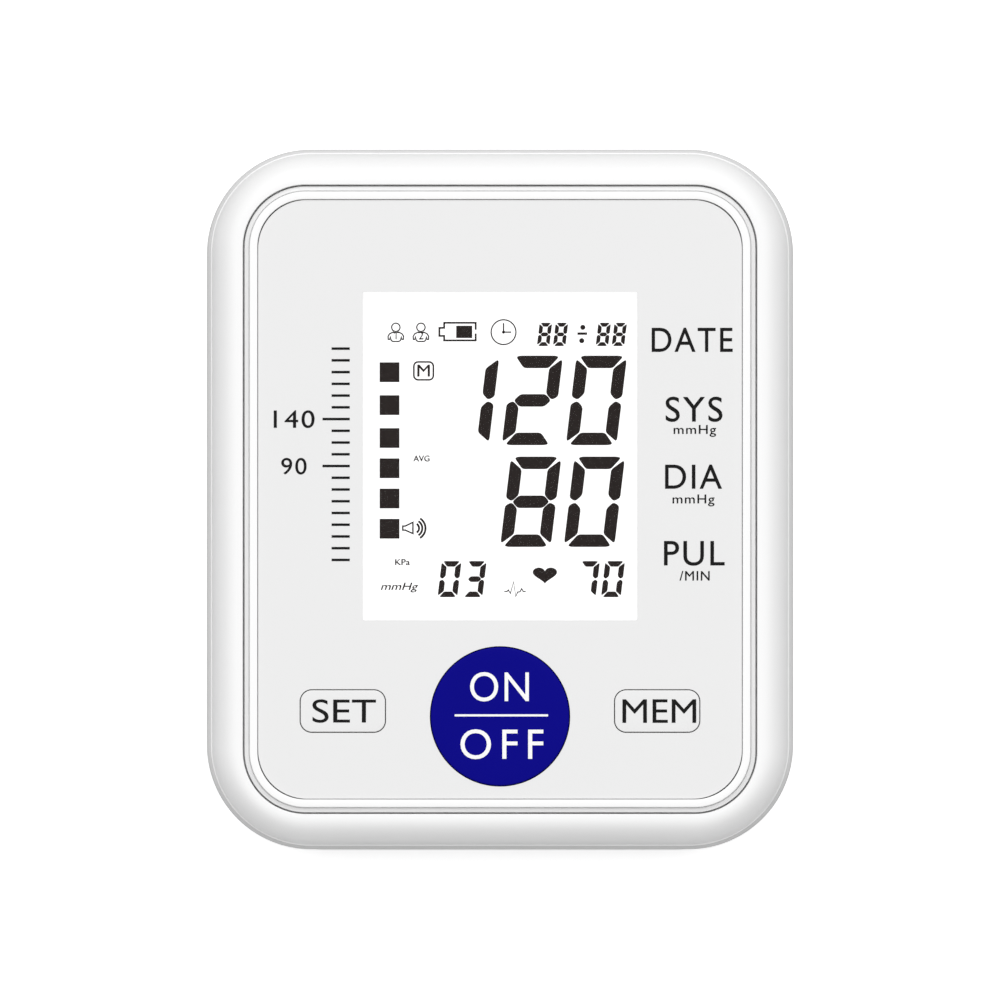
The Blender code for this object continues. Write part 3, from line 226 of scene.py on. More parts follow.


# Materials. Every one varies its colour and its roughness on the piece's own place, and all but the inks
# their relief too.


def newMaterial(name):
    material = bpy.data.materials.new(name)
    material.use_nodes = True
    tree = material.node_tree
    return material, tree, tree.nodes["Principled BSDF"]


def objectPlace(tree, stretch=(1, 1, 1)):
    place = addNode(tree, "ShaderNodeTexCoord").outputs["Object"]
    return outOf(tree, "ShaderNodeMapping", {"Vector": place, "Scale": stretch})


def noiseAt(tree, place, size, detail=2.0):
    # noise whose lumps are about this size, in metres
    return outOf(tree, "ShaderNodeTexNoise", {"Vector": place, "Scale": 1 / size, "Detail": detail})


def roughen(tree, shader, place, low, high, size):
    ends = {"Value": noiseAt(tree, place, size), "To Min": low, "To Max": high}
    tree.links.new(outOf(tree, "ShaderNodeMapRange", ends), shader.inputs["Roughness"])


def emboss(tree, shader, height, depth, strength=1.0):
    bump = outOf(tree, "ShaderNodeBump", {"Height": height, "Distance": depth, "Strength": strength})
    tree.links.new(bump, shader.inputs["Normal"])


def surface(name, shades, lump, rough, spot, relief=None, sockets=None, stretch=(1, 1, 1), cells=False):
    # lumps of two shades, spots of two roughnesses, and a relief (size, detail, depth, strength)
    # of noise or of cells
    material, tree, shader = newMaterial(name)
    place = objectPlace(tree, stretch)
    blend = addNode(tree, "ShaderNodeMix", {"Factor": noiseAt(tree, place, lump)}, data_type="RGBA")
    # the colour sockets of a Mix node come after its number and vector sockets
    for number, shade in zip((7, 6), shades):
        blend.inputs[number].default_value = (*shade, 1)
    tree.links.new(blend.outputs[2], shader.inputs["Base Color"])
    roughen(tree, shader, place, *rough, spot)
    if relief:
        size, detail, depth, strength = relief
        if cells:
            height = addNode(tree, "ShaderNodeTexVoronoi", {"Vector": place, "Scale": 1 / size})
            height = height.outputs["Distance"]
        else:
            height = noiseAt(tree, place, size, detail)
        emboss(tree, shader, height, depth, strength)
    for label, value in (sockets or {}).items():
        shader.inputs[label].default_value = value
    return material


def shades(colour, spread):
    light = tuple(min(value * (1 + spread), 1.0) for value in colour)
    dark = tuple(value * (1 - spread) for value in colour)
    return light, dark


def mouldedPlastic(name, colour, roughness, spread=0.012, size=0.5 * mm, depth=0.004 * mm, shine=0.5):
    # injection moulding: faint flow marks, an even spark-eroded grain
    rough = (roughness - 0.04, roughness + 0.05)
    sockets = {"Specular IOR Level": shine}
    return surface(
        name, shades(colour, spread), 14 * mm, rough, 3 * mm, (size, 3.0, depth, 1.0), sockets
    )


def softRubber(name, colour, roughness=0.75):
    rough = (roughness - 0.08, roughness + 0.08)
    relief = (0.35 * mm, 0, 0.02 * mm, 0.6)
    sockets = {"Specular IOR Level": 0.35}
    return surface(
        name, shades(colour, 0.06), 1.2 * mm, rough, 0.8 * mm, relief, sockets, cells=True
    )


def drawnMetal(name, colour, roughness, along=(1, 1, 1)):
    # fine draw lines run the way that along is small
    rough = (roughness - 0.07, roughness + 0.08)
    relief = (0.25 * mm, 4.0, 0.003 * mm, 1.0)
    return surface(
        name, shades(colour, 0.08), 0.6 * mm, rough, 0.4 * mm, relief, {"Metallic": 1.0}, along
    )


def flatInk(name, colour, roughness=0.45):
    rough = (roughness - 0.05, roughness + 0.05)
    sockets = {"Specular IOR Level": 0.12}
    return surface(name, shades(colour, 0.10), 0.5 * mm, rough, 0.6 * mm, None, sockets)


def clearWindow():
    return surface(
        "clearWindow",
        ((0.022,) * 3, (0.018,) * 3),
        10 * mm,
        (0.02, 0.05),
        6 * mm,
        (20 * mm, 2.0, 0.01 * mm, 0.3),
        {"Alpha": 0.02, "IOR": 1.49},
    )


def displayGroundPaintedGlow():
    # reflector seen through the cell, with the faint weave of its diffuser; the backlight's glow is turned
    # up into painted light that washes out the shade of the window's recess
    return surface(
        "displayGroundPaintedGlow",
        ((0.46,) * 3, (0.44,) * 3),
        0.4 * mm,
        (0.30, 0.42),
        2 * mm,
        (0.2 * mm, 2.0, 0.001 * mm, 1.0),
        {"Emission Color": (1, 1, 1, 1), "Emission Strength": 0.75},
    )


def milkySilicone():
    return surface(
        "milkySilicone",
        ((0.86, 0.87, 0.86), (0.80, 0.81, 0.80)),
        4 * mm,
        (0.38, 0.5),
        2 * mm,
        (1.5 * mm, 2.0, 0.01 * mm, 1.0),
        {"Subsurface Weight": 0.25, "Subsurface Scale": 0.001},
    )


def circuitBoard():
    # solder mask with copper tracks showing as raised, lighter lines
    material, tree, shader = newMaterial("circuitBoard")
    place = objectPlace(tree)
    pattern = {
        "Vector": place,
        "Color1": (0.012, 0.14, 0.05, 1),
        "Color2": (0.016, 0.17, 0.06, 1),
        "Mortar": (0.03, 0.27, 0.10, 1),
        "Scale": 1.0,
        "Mortar Size": 0.18 * mm,
        "Brick Width": 5.2 * mm,
        "Row Height": 1.9 * mm,
    }
    tracks = addNode(tree, "ShaderNodeTexBrick", pattern)
    tree.links.new(tracks.outputs["Color"], shader.inputs["Base Color"])
    roughen(tree, shader, place, 0.30, 0.42, 2 * mm)
    emboss(tree, shader, tracks.outputs["Fac"], 0.03 * mm, 0.7)
    return material


# colour, roughness, spread of the shades, size and depth of the grain, shine
plastics = {
    "whiteShell": ((0.88,) * 3, 0.42, 0.004, 0.5 * mm, 0.0006 * mm),
    # the base: the shell's white plastic darkened as painted shade for the rim band round the bezel
    "whiteBase": ((0.64,) * 3, 0.42, 0.010, 0.7 * mm, 0.003 * mm),
    # the trim's lower step: the trim's own plastic darkened as painted shade of its recess
    "trimGrey": ((0.76,) * 3, 0.36, 0.004, 0.5 * mm, 0.0005 * mm),
    "glossTrim": ((0.90,) * 3, 0.30, 0.004, 0.5 * mm, 0.0005 * mm),
    "printedPanel": ((0.775,) * 3, 0.42, 0.004, 0.3 * mm, 0.001 * mm),
    "keyGrey": ((0.775,) * 3, 0.38, 0.004, 0.3 * mm, 0.001 * mm),
    "deepBlue": ((0.0015, 0.0008, 0.22), 0.34, 0.05, 0.4 * mm, 0.001 * mm, 0.04),
    "ivory": ((0.80, 0.79, 0.74), 0.45, 0.02),
    "switchBlack": ((0.03, 0.03, 0.032), 0.42, 0.08),
    "amber": ((0.62, 0.33, 0.06), 0.40, 0.05),
    "socketGrey": ((0.50, 0.51, 0.52), 0.38, 0.03),
    "diffuser": ((0.88, 0.90, 0.92), 0.50, 0.01),
    "cellWrap": ((0.035, 0.05, 0.09), 0.30, 0.06),
    "cellBand": ((0.60, 0.36, 0.12), 0.28, 0.05),
}
rubbers = {
    "speakerPaper": ((0.035,) * 3, 0.85),
    "footRubber": ((0.30, 0.30, 0.31),),
    "pumpRubber": ((0.028,) * 3,),
    "connectorRubber": ((0.30, 0.09, 0.12), 0.65),
}
metals = {
    "screwSteel": ((0.58, 0.58, 0.60), 0.30),
    "motorSteel": ((0.55, 0.56, 0.57), 0.28, (0.06, 1, 1)),
    "nickel": ((0.70, 0.67, 0.62), 0.24, (0.2, 1, 1)),
}
inks = {
    "blackInk": ((0.004,) * 3, 0.5),
    "displayInk": ((0.016, 0.011, 0.010),),
    "whiteInk": ((0.90,) * 3,),
}
finishes = {make.__name__: make() for make in (clearWindow, displayGroundPaintedGlow, milkySilicone, circuitBoard)}
makers = ((mouldedPlastic, plastics), (softRubber, rubbers), (drawnMetal, metals), (flatInk, inks))
for make, table in makers:
    for name, sizes in table.items():
        finishes[name] = make(name, *sizes)
print("finishes mixed:", len(finishes))


# Shapes


def roundedOutline(width, length, radius, steps=20):
    # anticlockwise from the right side
    points = []
    for corner, (sideX, sideY) in enumerate(((1, 1), (-1, 1), (-1, -1), (1, -1))):
        middleX = sideX * (width / 2 - radius)
        middleY = sideY * (length / 2 - radius)
        for step in range(steps + 1):
            angle = math.radians(90 * (corner + step / steps))
            points.append(Vector((middleX + radius * math.cos(angle), middleY + radius * math.sin(angle))))
    return points


def circleOutline(radius, steps=96):
    angles = [2 * math.pi * step / steps for step in range(steps)]
    return [Vector((radius * math.cos(angle), radius * math.sin(angle))) for angle in angles]


def shifted(outline, place):
    return [point + Vector(place) for point in outline]


def raised(outline, height):
    return [Vector((point.x, point.y, height)) for point in outline]


def meshOf(name, bm, place=worldPlace, sharpAngle=32):
    bmesh.ops.remove_doubles(bm, verts=bm.verts, dist=1e-7)
    bmesh.ops.recalc_face_normals(bm, faces=bm.faces)
    mesh = bpy.data.meshes.new(name)
    bm.to_mesh(mesh)
    bm.free()
    mesh.transform(place)
    mesh.shade_smooth()
    mesh.set_sharp_from_angle(angle=math.radians(sharpAngle))
    return mesh


def loft(name, rings, place=worldPlace, ringShaped=False):
    # skin over rings of as many points each; ringShaped joins the last to the first
    bm = bmesh.new()
    rows = [[bm.verts.new(point) for point in ring] for ring in rings]
    count = len(rows[0])
    pairs = list(zip(rows, rows[1:]))
    if ringShaped:
        pairs.append((rows[-1], rows[0]))
    for low, high in pairs:
        for i in range(count):
            j = (i + 1) % count
            bm.faces.new((low[i], low[j], high[j], high[i]))
    if not ringShaped:
        bm.faces.new(rows[0])
        bm.faces.new(rows[-1])
    return meshOf(name, bm, place)


def lathe(name, profile, place, steps=48):
    # closed body turned about z from (radius, height) points
    bm = bmesh.new()
    rows = []
    for radius, height in profile:
        if radius == 0:
            rows.append([bm.verts.new((0, 0, height))])
        else:
            rows.append([bm.verts.new(point) for point in raised(circleOutline(radius, steps), height)])
    pairs = list(zip(rows, rows[1:]))
    if profile[0][0] > 0:
        pairs.append((rows[-1], rows[0]))
    for low, high in pairs:
        for i in range(steps):
            j = (i + 1) % steps
            corners = [low[i % len(low)], low[j % len(low)], high[j % len(high)], high[i % len(high)]]
            unique = list(dict.fromkeys(corners))
            if len(unique) > 2:
                bm.faces.new(unique)
    return meshOf(name, bm, place)


def plate(name, outlines, low, high, place=worldPlace):
    # flat plate between two heights; an outline inside another is a hole
    curve = bpy.data.curves.new(name, "CURVE")
    curve.dimensions = "2D"
    curve.fill_mode = "BOTH"
    curve.extrude = (high - low) / 2
    for outline in outlines:
        spline = curve.splines.new("POLY")
        spline.points.add(len(outline) - 1)
        spline.use_cyclic_u = True
        for point, corner in zip(spline.points, outline):
            point.co = (corner.x, corner.y, 0, 1)
    bm = bmesh.new()
    bm.from_mesh(evaluatedMesh(bpy.data.objects.new(name, curve)))
    bmesh.ops.translate(bm, vec=(0, 0, (low + high) / 2), verts=bm.verts)
    return meshOf(name, bm, place)


def evaluatedMesh(guide):
    # the mesh that a curve, a text or a modified object shows, with the guide itself removed
    bpy.context.scene.collection.objects.link(guide)
    graph = bpy.context.evaluated_depsgraph_get()
    mesh = bpy.data.meshes.new_from_object(guide.evaluated_get(graph))
    bpy.data.objects.remove(guide)
    return mesh


def block(name, low, high, place=worldPlace):
    bm = bmesh.new()
    low, high = Vector(low), Vector(high)
    corners = bmesh.ops.create_cube(bm, size=1.0)["verts"]
    bmesh.ops.scale(bm, vec=high - low, verts=corners)
    bmesh.ops.translate(bm, vec=(low + high) / 2, verts=corners)
    return meshOf(name, bm, place)


alongX = Matrix.Rotation(math.radians(90), 4, "Y")  # turns z to x
alongY = Matrix.Rotation(math.radians(-90), 4, "X")  # turns z to y


def rod(name, radius, start, length, turn=worldPlace, steps=40, place=worldPlace):
    profile = [(0, 0), (radius, 0), (radius, length), (0, length)]
    return lathe(name, profile, place @ Matrix.Translation(start) @ turn, steps)


def addPiece(name, mesh, finish, replaced=(), bevel=0.0, body="housing"):
    # the finished piece: one plain mesh at the origin, riding its body
    mesh.name = name
    mesh.materials.clear()
    mesh.materials.append(finishes[finish])
    piece = inScene(name, mesh)
    if bevel:
        edge = piece.modifiers.new("softEdges", "BEVEL")
        edge.width = bevel
        edge.segments = 3
        edge.limit_method = "ANGLE"
        edge.angle_limit = math.radians(40)
    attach(piece, body)
    if replaced:
        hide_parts(*replaced)
    return piece


def cut(mesh):
    return "DIFFERENCE", mesh


def weld(mesh):
    return "UNION", mesh


def carve(mesh, steps):
    # runs Booleans on a mesh, in order: each step is a cut or a weld
    piece = bpy.data.objects.new("carving", mesh)
    helpers = []
    for operation, other in steps:
        helper = inScene("carvingTool", other)
        helpers.append(helper)
        step = piece.modifiers.new("carve", "BOOLEAN")
        step.operation = operation
        step.object = helper
        step.solver = "EXACT"
    result = evaluatedMesh(piece)
    for helper in helpers:
        bpy.data.objects.remove(helper)
    result.materials.clear()
    bm = bmesh.new()
    bm.from_mesh(result)
    bmesh.ops.remove_doubles(bm, verts=bm.verts, dist=1e-6)
    bm.to_mesh(result)
    bm.free()
    result.shade_smooth()
    result.set_sharp_from_angle(angle=math.radians(32))
    return result


# Geometry Nodes


def newTree(name, sizes):
    # a tree with one named input for each size, whole numbers as integers
    tree = bpy.data.node_groups.new(name, "GeometryNodeTree")
    tree.interface.new_socket("Geometry", in_out="OUTPUT", socket_type="NodeSocketGeometry")
    for label, value in sizes.items():
        kind = "NodeSocketInt" if isinstance(value, int) else "NodeSocketFloat"
        tree.interface.new_socket(label, in_out="INPUT", socket_type=kind)
    tree.interface.new_socket("Finish", in_out="INPUT", socket_type="NodeSocketMaterial")
    tree.nodes.new("NodeGroupInput")
    return tree, tree.nodes["Group Input"].outputs


def endTree(tree, geometry, inputs):
    real = outOf(tree, "GeometryNodeRealizeInstances", {0: geometry})
    finish = {"Geometry": real, "Material": inputs["Finish"]}
    addNode(tree, "NodeGroupOutput", {0: outOf(tree, "GeometryNodeSetMaterial", finish)})


def grow(name, tree, sizes, finish, place=worldPlace):
    # the plain mesh that a tree makes with these sizes
    guide = bpy.data.objects.new(name, bpy.data.meshes.new(name))
    step = guide.modifiers.new(tree.name, "NODES")
    step.node_group = tree
    values = dict(sizes, Finish=finishes[finish])
    for item in tree.interface.items_tree:
        if item.in_out == "INPUT":
            step[item.identifier] = values[item.name]
    mesh = evaluatedMesh(guide)
    mesh.transform(place)
    return mesh


def vectorNode(tree, x=0.0, y=0.0, z=0.0):
    return outOf(tree, "ShaderNodeCombineXYZ", {0: x, 1: y, 2: z})


def boxNode(tree, x, y, z):
    return outOf(tree, "GeometryNodeMeshCube", {"Size": vectorNode(tree, x, y, z)})


def rowNode(tree, count, offset):
    return outOf(tree, "GeometryNodeMeshLine", {"Count": count, "Offset": offset})


def onPoints(tree, points, shape, **inputs):
    inputs.update(Points=points, Instance=shape)
    return outOf(tree, "GeometryNodeInstanceOnPoints", inputs)


def moveNode(tree, geometry, x=0.0, y=0.0, z=0.0):
    shift = vectorNode(tree, x, y, z)
    return outOf(tree, "GeometryNodeTransform", {0: geometry, "Translation": shift})


# Front cover: soft bezel, trim channel and the deck under the panel

bezel = {
    "rise": 8.0 * mm,
    "width": 6.1 * mm,
    "crest": 0.7 * mm,  # flat strip beside the trim
    "edge": 0.24 * mm,  # flat strip along the seam
    "outerRadius": 18.9 * mm,
    "innerRadius": 11.7 * mm,
    "wall": 2.0 * mm,
    "channelDepth": 3.0 * mm,
    "channelWidth": 2.85 * mm,
    "deckDepth": 1.5 * mm,
    "deckUnderside": 4.6 * mm,
    "clearance": 0.3 * mm,
    "steps": 26,
}
bosses = {
    "radius": 3.6 * mm,
    "bore": 1.6 * mm,
    "screwHole": 1.75 * mm,
    "well": 3.2 * mm,
    "boardRadius": 2.6 * mm,
    "boardBore": 1.3 * mm,
    "footPocket": 5.3 * mm,
    "socketHole": 6.5 * mm,
}
coverLow, coverHigh = faceBox("front_cover")
coverWidth = coverHigh.x - coverLow.x
coverLength = coverHigh.y - coverLow.y
crestHeight = coverHigh.z - 0.06 * mm
seamHeight = coverHigh.z - bezel["rise"]
gap = bezel["clearance"]
flange = 1.3 * mm  # how far a button's collar spreads under the deck
buttonGap = 0.28 * mm


def coverRing(inset, height):
    share = min(inset / bezel["width"], 1.0)
    radius = bezel["outerRadius"] + (bezel["innerRadius"] - bezel["outerRadius"]) * share
    radius -= max(inset - bezel["width"], 0)
    return raised(roundedOutline(coverWidth - 2 * inset, coverLength - 2 * inset, radius, 28), height)


def centreOf(name):
    low, high = faceBox(name)
    return Vector(((low.x + high.x) / 2, (low.y + high.y) / 2))


def buttonOutline(name, spread=0.0):
    # the cap of a button in its own axes
    low, high = faceBox(name + "_button")
    width = high.x - low.x - 2 * flange + 2 * spread
    length = high.y - low.y - 2 * flange + 2 * spread
    if name == "power":
        return circleOutline(width / 2)
    return roundedOutline(width, length, 2.0 * mm + spread, 12)


buttonNames = ("power", "set", "mem")
buttonCentres = {name: centreOf(name + "_button") for name in buttonNames}


def buildFrontCover():
    edge = bezel["edge"]
    span = bezel["width"] - bezel["crest"] - edge
    wall = bezel["wall"]
    rings = [
        coverRing(2.2 * wall, crestHeight - bezel["deckUnderside"]),
        coverRing(1.1 * wall, seamHeight + 1.8 * mm),
        coverRing(wall, seamHeight),
        coverRing(0.1 * mm, seamHeight),
        coverRing(0, seamHeight + 0.1 * mm),
        coverRing(edge, seamHeight + 0.12 * mm),
    ]
    for step in range(1, bezel["steps"] + 1):
        angle = math.radians(90) * step / bezel["steps"]
        height = seamHeight + 0.1 * mm + (crestHeight - seamHeight - 0.1 * mm) * math.sin(angle)
        rings.append(coverRing(edge + span * (1 - math.cos(angle)), height))
    lip = bezel["width"]
    for angle in (30, 60, 90):
        fall = 0.25 * mm * (1 - math.cos(math.radians(angle)))
        rings.append(coverRing(lip - 0.25 * mm * (1 - math.sin(math.radians(angle))), crestHeight - fall))
    rings += [
        coverRing(lip, crestHeight - bezel["channelDepth"]),
        coverRing(lip + bezel["channelWidth"], crestHeight - bezel["channelDepth"]),
        coverRing(lip + bezel["channelWidth"], crestHeight - bezel["deckDepth"]),
    ]
    mesh = loft("frontCover", rings, facePlace)
    steps = []
    intoDeck = crestHeight - bezel["deckUnderside"] + mm
    down = Vector((0, 0, -mm))
    for name in numbered("case_screw"):
        start = Vector((*middleOf(name).xy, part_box(name)[1].z - 4 * mm + gap))
        top = facePlace @ Vector((0, 0, intoDeck))
        rise = top.z + (start.y - top.y) * math.tan(tilt) - start.z
        steps.append(weld(rod("boss", bosses["radius"], start, rise)))
        steps.append(cut(rod("bossBore", bosses["bore"], start + down, rise - 0.5 * mm)))
    for name in numbered("pcb_screw", 3):
        start = Vector((*centreOf(name), faceBox("main_pcb")[1].z + gap))
        boss = rod("boardBoss", bosses["boardRadius"], start, intoDeck - start.z, place=facePlace)
        bore = rod("boardBore", bosses["boardBore"], start + down, 5 * mm, place=facePlace)
        steps += [weld(boss), cut(bore)]
    low, high = faceBox("display_lens")
    outline = roundedOutline(high.x - low.x + 2 * gap, high.y - low.y + 2 * gap, mm, 6)
    bottom, top = crestHeight - bezel["deckUnderside"] - mm, crestHeight
    window = plate("window", [shifted(outline, centreOf("display_lens"))], bottom, top, facePlace)
    steps.append(cut(window))
    for name in buttonNames:
        outline = shifted(buttonOutline(name, buttonGap + gap), buttonCentres[name])
        steps.append(cut(plate("keyHole", [outline], bottom, top, facePlace)))
    addPiece("frontCover", carve(mesh, steps), "whiteShell", ["front_cover"])


buildFrontCover()


# Trim ring of two steps, the lower step darker with painted shade, and the printed panel inside it

trim = {
    "lowBand": 0.95 * mm,
    "highBand": 1.48 * mm,
    "step": 0.5 * mm,
    "slope": 0.34 * mm,  # fall of the low band towards the cover
    "groove": 0.17 * mm,
    "grooveDepth": 0.3 * mm,
    "fillet": 0.16 * mm,
    "panelRadius": 9.15 * mm,
}
trimLow, trimHigh = faceBox("display_frame")


def trimRing(inset, height):
    width = trimHigh.x - trimLow.x - 2 * inset
    length = trimHigh.y - trimLow.y - 2 * inset
    return raised(roundedOutline(width, length, bezel["innerRadius"] - gap - inset, 28), height)


def roundedStep(inset, top, fillet, inward):
    # rings over a rounded edge, from the outer side up to the top, or down the inner side
    rings = []
    for angle in (0, 30, 60, 90):
        along = fillet * (1 - math.cos(math.radians(angle)))
        up = fillet * math.sin(math.radians(angle))
        rings.append(trimRing(inset + inward * along, top - fillet + up))
    return rings if inward > 0 else rings[::-1]


def buildTrim():
    low, band = trim["lowBand"], trim["lowBand"] + trim["highBand"]
    fillet = trim["fillet"]
    step = trimHigh.z - trim["step"]
    floor = step - trim["grooveDepth"]
    groove = low - trim["groove"]
    rings = [trimRing(0, trimLow.z), *roundedStep(0, step - trim["slope"], 0.6 * fillet, 1)]
    rings += [trimRing(groove, step), trimRing(groove, floor), trimRing(low - 0.01 * mm, floor)]
    rings.append(trimRing(low - 0.01 * mm, trimLow.z))
    mesh = loft("trimStep", rings, facePlace, ringShaped=True)
    # the lower step's darker grey is painted shade
    addPiece("trimStep", mesh, "trimGrey", ["display_frame"])
    rings = [trimRing(low, trimLow.z), *roundedStep(low, trimHigh.z, fillet, 1)]
    rings += [*roundedStep(band, trimHigh.z, fillet, -1), trimRing(band, trimLow.z)]
    mesh = loft("trimRing", rings, facePlace, ringShaped=True)
    addPiece("trimRing", mesh, "glossTrim", ["display_frame"])


buildTrim()

lensOverlap = 2.8 * mm
lensLow, lensHigh = faceBox("display_lens")
windowCentre = centreOf("display_lens")
windowWidth = lensHigh.x - lensLow.x - 2 * lensOverlap
windowLength = lensHigh.y - lensLow.y - 2 * lensOverlap


def buildPanel():
    low, high = faceBox("face_panel")
    outer = roundedOutline(high.x - low.x, high.y - low.y, trim["panelRadius"], 28)
    window = shifted(roundedOutline(windowWidth, windowLength, 0.3 * mm, 4), windowCentre)
    holes = [shifted(buttonOutline(name, buttonGap), buttonCentres[name]) for name in buttonNames]
    mesh = plate("facePanel", [outer, window, *holes], low.z, high.z, facePlace)
    addPiece("facePanel", mesh, "printedPanel", ["face_panel"], 0.08 * mm)


buildPanel()


def buildDisplay():
    layers = (
        # piece, node, corner radius, steps, bevel, finish and slot
        ("displayLens", "display_lens", 0.7 * mm, 6, 0.1 * mm, "clearWindow", "lens_clear"),
        # the glass's ground glows with painted light over the recess's shade
        ("displayGlass", "lcd_glass", 0.2 * mm, 3, 0.08 * mm, "displayGroundPaintedGlow", "display_white"),
    )
    for name, node, radius, steps, bevel, finish, slot in layers:
        low, high = faceBox(node)
        outline = shifted(roundedOutline(high.x - low.x, high.y - low.y, radius, steps), windowCentre)
        mesh = plate(name, [outline], low.z, high.z, facePlace)
        addPiece(name, mesh, finish, [node], bevel)


buildDisplay()
print("cover, trim, panel and display built")


# Buttons

button = {
    "domeRise": 0.12 * mm,
    "edge": 0.3 * mm,
    "keyEdge": 0.15 * mm,
    "stem": 2.0 * mm,
    "swell": 0.1 * mm,
    "collar": 1.0 * mm,
}
capTop = 0.36 * mm


def buildButton(name, finish):
    low, high = faceBox(name + "_button")
    collarTop = crestHeight - bezel["deckUnderside"] - gap
    collarBottom = collarTop - button["collar"]
    dome, edge = (button["domeRise"], button["edge"]) if name == "power" else (0.0, button["keyEdge"])
    top = min(high.z, capTop) - dome
    swell = button["swell"]
    cap = buttonOutline(name, swell)
    stem = circleOutline(button["stem"], len(cap))
    collar = buttonOutline(name, flange)
    rings = [raised(stem, low.z), raised(stem, collarBottom), raised(collar, collarBottom)]
    rings += [raised(collar, collarTop), raised(cap, collarTop)]
    for degrees in range(0, 91, 15):
        angle = math.radians(degrees)
        ring = buttonOutline(name, swell - edge * (1 - math.cos(angle)))
        rings.append(raised(ring, top - edge * (1 - math.sin(angle))))
    shares = (0.85, 0.7, 0.5, 0.3, 0.12) if name == "power" else (0.6, 0.3)
    for share in shares:
        ring = [point * share for point in buttonOutline(name, swell - edge)]
        rings.append(raised(ring, top + dome * (1 - share * share)))
    place = facePlace @ Matrix.Translation((*buttonCentres[name], 0))
    mesh = loft(name + "Button", rings, place)
    addPiece(name + "Button", mesh, finish, [name + "_button"], body=name + "_key")


buildButton("power", "deepBlue")
buildButton("set", "keyGrey")
buildButton("mem", "keyGrey")


# Print: thin ink on the panel and the keys, and the lit symbols of the display

ink = {"thickness": 0.03 * mm, "lift": 0.004 * mm}


def inkPlate(name, outlines, surface):
    return plate(name, outlines, surface + ink["lift"], surface + ink["lift"] + ink["thickness"], facePlace)


def lettering(text, left, right, top, bottom, surface, slant=0.0, spacing=1.0):
    # a word fitted to the box that these four sides give, in face axes
    curve = bpy.data.curves.new("lettering", "FONT")
    curve.body = text
    curve.resolution_u = 6
    curve.space_character = spacing
    curve.shear = slant
    curve.extrude = 0.02
    mesh = evaluatedMesh(bpy.data.objects.new("lettering", curve))
    xs = [vertex.co.x for vertex in mesh.vertices]
    ys = [vertex.co.y for vertex in mesh.vertices]
    scaleX = (right - left) / (max(xs) - min(xs))
    scaleY = (top - bottom) / (max(ys) - min(ys))
    fit = Matrix.Translation((left, bottom, surface + ink["lift"] + ink["thickness"] / 2))
    fit = fit @ Matrix.Diagonal((scaleX, scaleY, ink["thickness"] / 0.04, 1))
    fit = fit @ Matrix.Translation((-min(xs), -min(ys), 0))
    bm = bmesh.new()
    bm.from_mesh(mesh)
    return meshOf("lettering", bm, facePlace @ fit)


def joined(meshes):
    bm = bmesh.new()
    for mesh in meshes:
        bm.from_mesh(mesh)
    mesh = bpy.data.meshes.new("joined")
    bm.to_mesh(mesh)
    bm.free()
    return mesh


# Words on the panel: text, left, right, top and bottom in millimetres of the face
panelWords = (
    ("DATE", 28.4, 43.5, 32.1, 27.6),
    ("SYS", 31.0, 41.6, 19.2, 14.5),
    ("mmHg", 32.5, 40.4, 13.9, 11.7),
    ("DIA", 30.9, 41.5, 6.5, 2.0),
    ("mmHg", 32.3, 40.1, 0.9, -1.3),
    ("PUL", 30.7, 42.0, -7.8, -12.4),
    ("/MIN", 33.6, 39.2, -13.4, -15.2),
    ("140", -42.3, -34.7, 16.65, 13.35),
    ("90", -40.9, -36.2, 7.75, 4.65),
)


def words(table, surface, pen=0.0, **style):
    # pen thickens the strokes by a second, shifted copy
    made = []
    for text, left, right, top, bottom in table:
        sides = [value * mm for value in (left, right, top, bottom)]
        for way in (-pen, pen) if pen else (0,):
            shiftedSides = [sides[0] + way, sides[1] + way, sides[2] + 0.7 * way, sides[3] + 0.7 * way]
            made.append(lettering(text, *shiftedSides, surface + 0.02 * way, **style))
    return made


scale = {
    "Count": 19,
    "Pitch": 2.196 * mm,
    "Short": 3.4 * mm,
    "Long": 5.1 * mm,
    "Thickness": 0.47 * mm,
    "Height": ink["thickness"],
    "First long": 6,
    "Second long": 10,
}
scaleTop = Vector((-28.1 * mm, 28.2 * mm, ink["lift"] + ink["thickness"] / 2))


def scaleTree():
    # a column of ticks hung from their right ends, two of them long
    tree, inputs = newTree("pressureScale", scale)
    fall = numberNode(tree, "MULTIPLY", inputs["Pitch"], -1.0)
    column = rowNode(tree, inputs["Count"], vectorNode(tree, y=fall))
    tick = boxNode(tree, 1.0, inputs["Thickness"], inputs["Height"])
    tick = moveNode(tree, tick, x=-0.5)
    index = outOf(tree, "GeometryNodeInputIndex")
    first = addNode(tree, "FunctionNodeCompare", data_type="INT", operation="EQUAL")
    second = addNode(tree, "FunctionNodeCompare", data_type="INT", operation="EQUAL")
    for compare, label in ((first, "First long"), (second, "Second long")):
        tree.links.new(index, compare.inputs[2])
        tree.links.new(inputs[label], compare.inputs[3])
    either = addNode(
        tree, "FunctionNodeBooleanMath", {0: first.outputs[0], 1: second.outputs[0]}, operation="OR"
    )
    length = addNode(tree, "GeometryNodeSwitch", input_type="FLOAT")
    tree.links.new(either.outputs[0], length.inputs["Switch"])
    tree.links.new(inputs["Short"], length.inputs["False"])
    tree.links.new(inputs["Long"], length.inputs["True"])
    ticks = onPoints(tree, column, tick, Scale=vectorNode(tree, length.outputs[0], 1.0, 1.0))
    endTree(tree, ticks, inputs)
    return tree


def buildPanelPrint():
    made = words(panelWords, 0, pen=0.025 * mm, spacing=1.12)
    addPiece("panelWords", joined(made), "blackInk")
    mesh = grow("pressureScale", scaleTree(), scale, "blackInk", facePlace @ Matrix.Translation(scaleTop))
    addPiece("pressureScale", mesh, "blackInk")


buildPanelPrint()


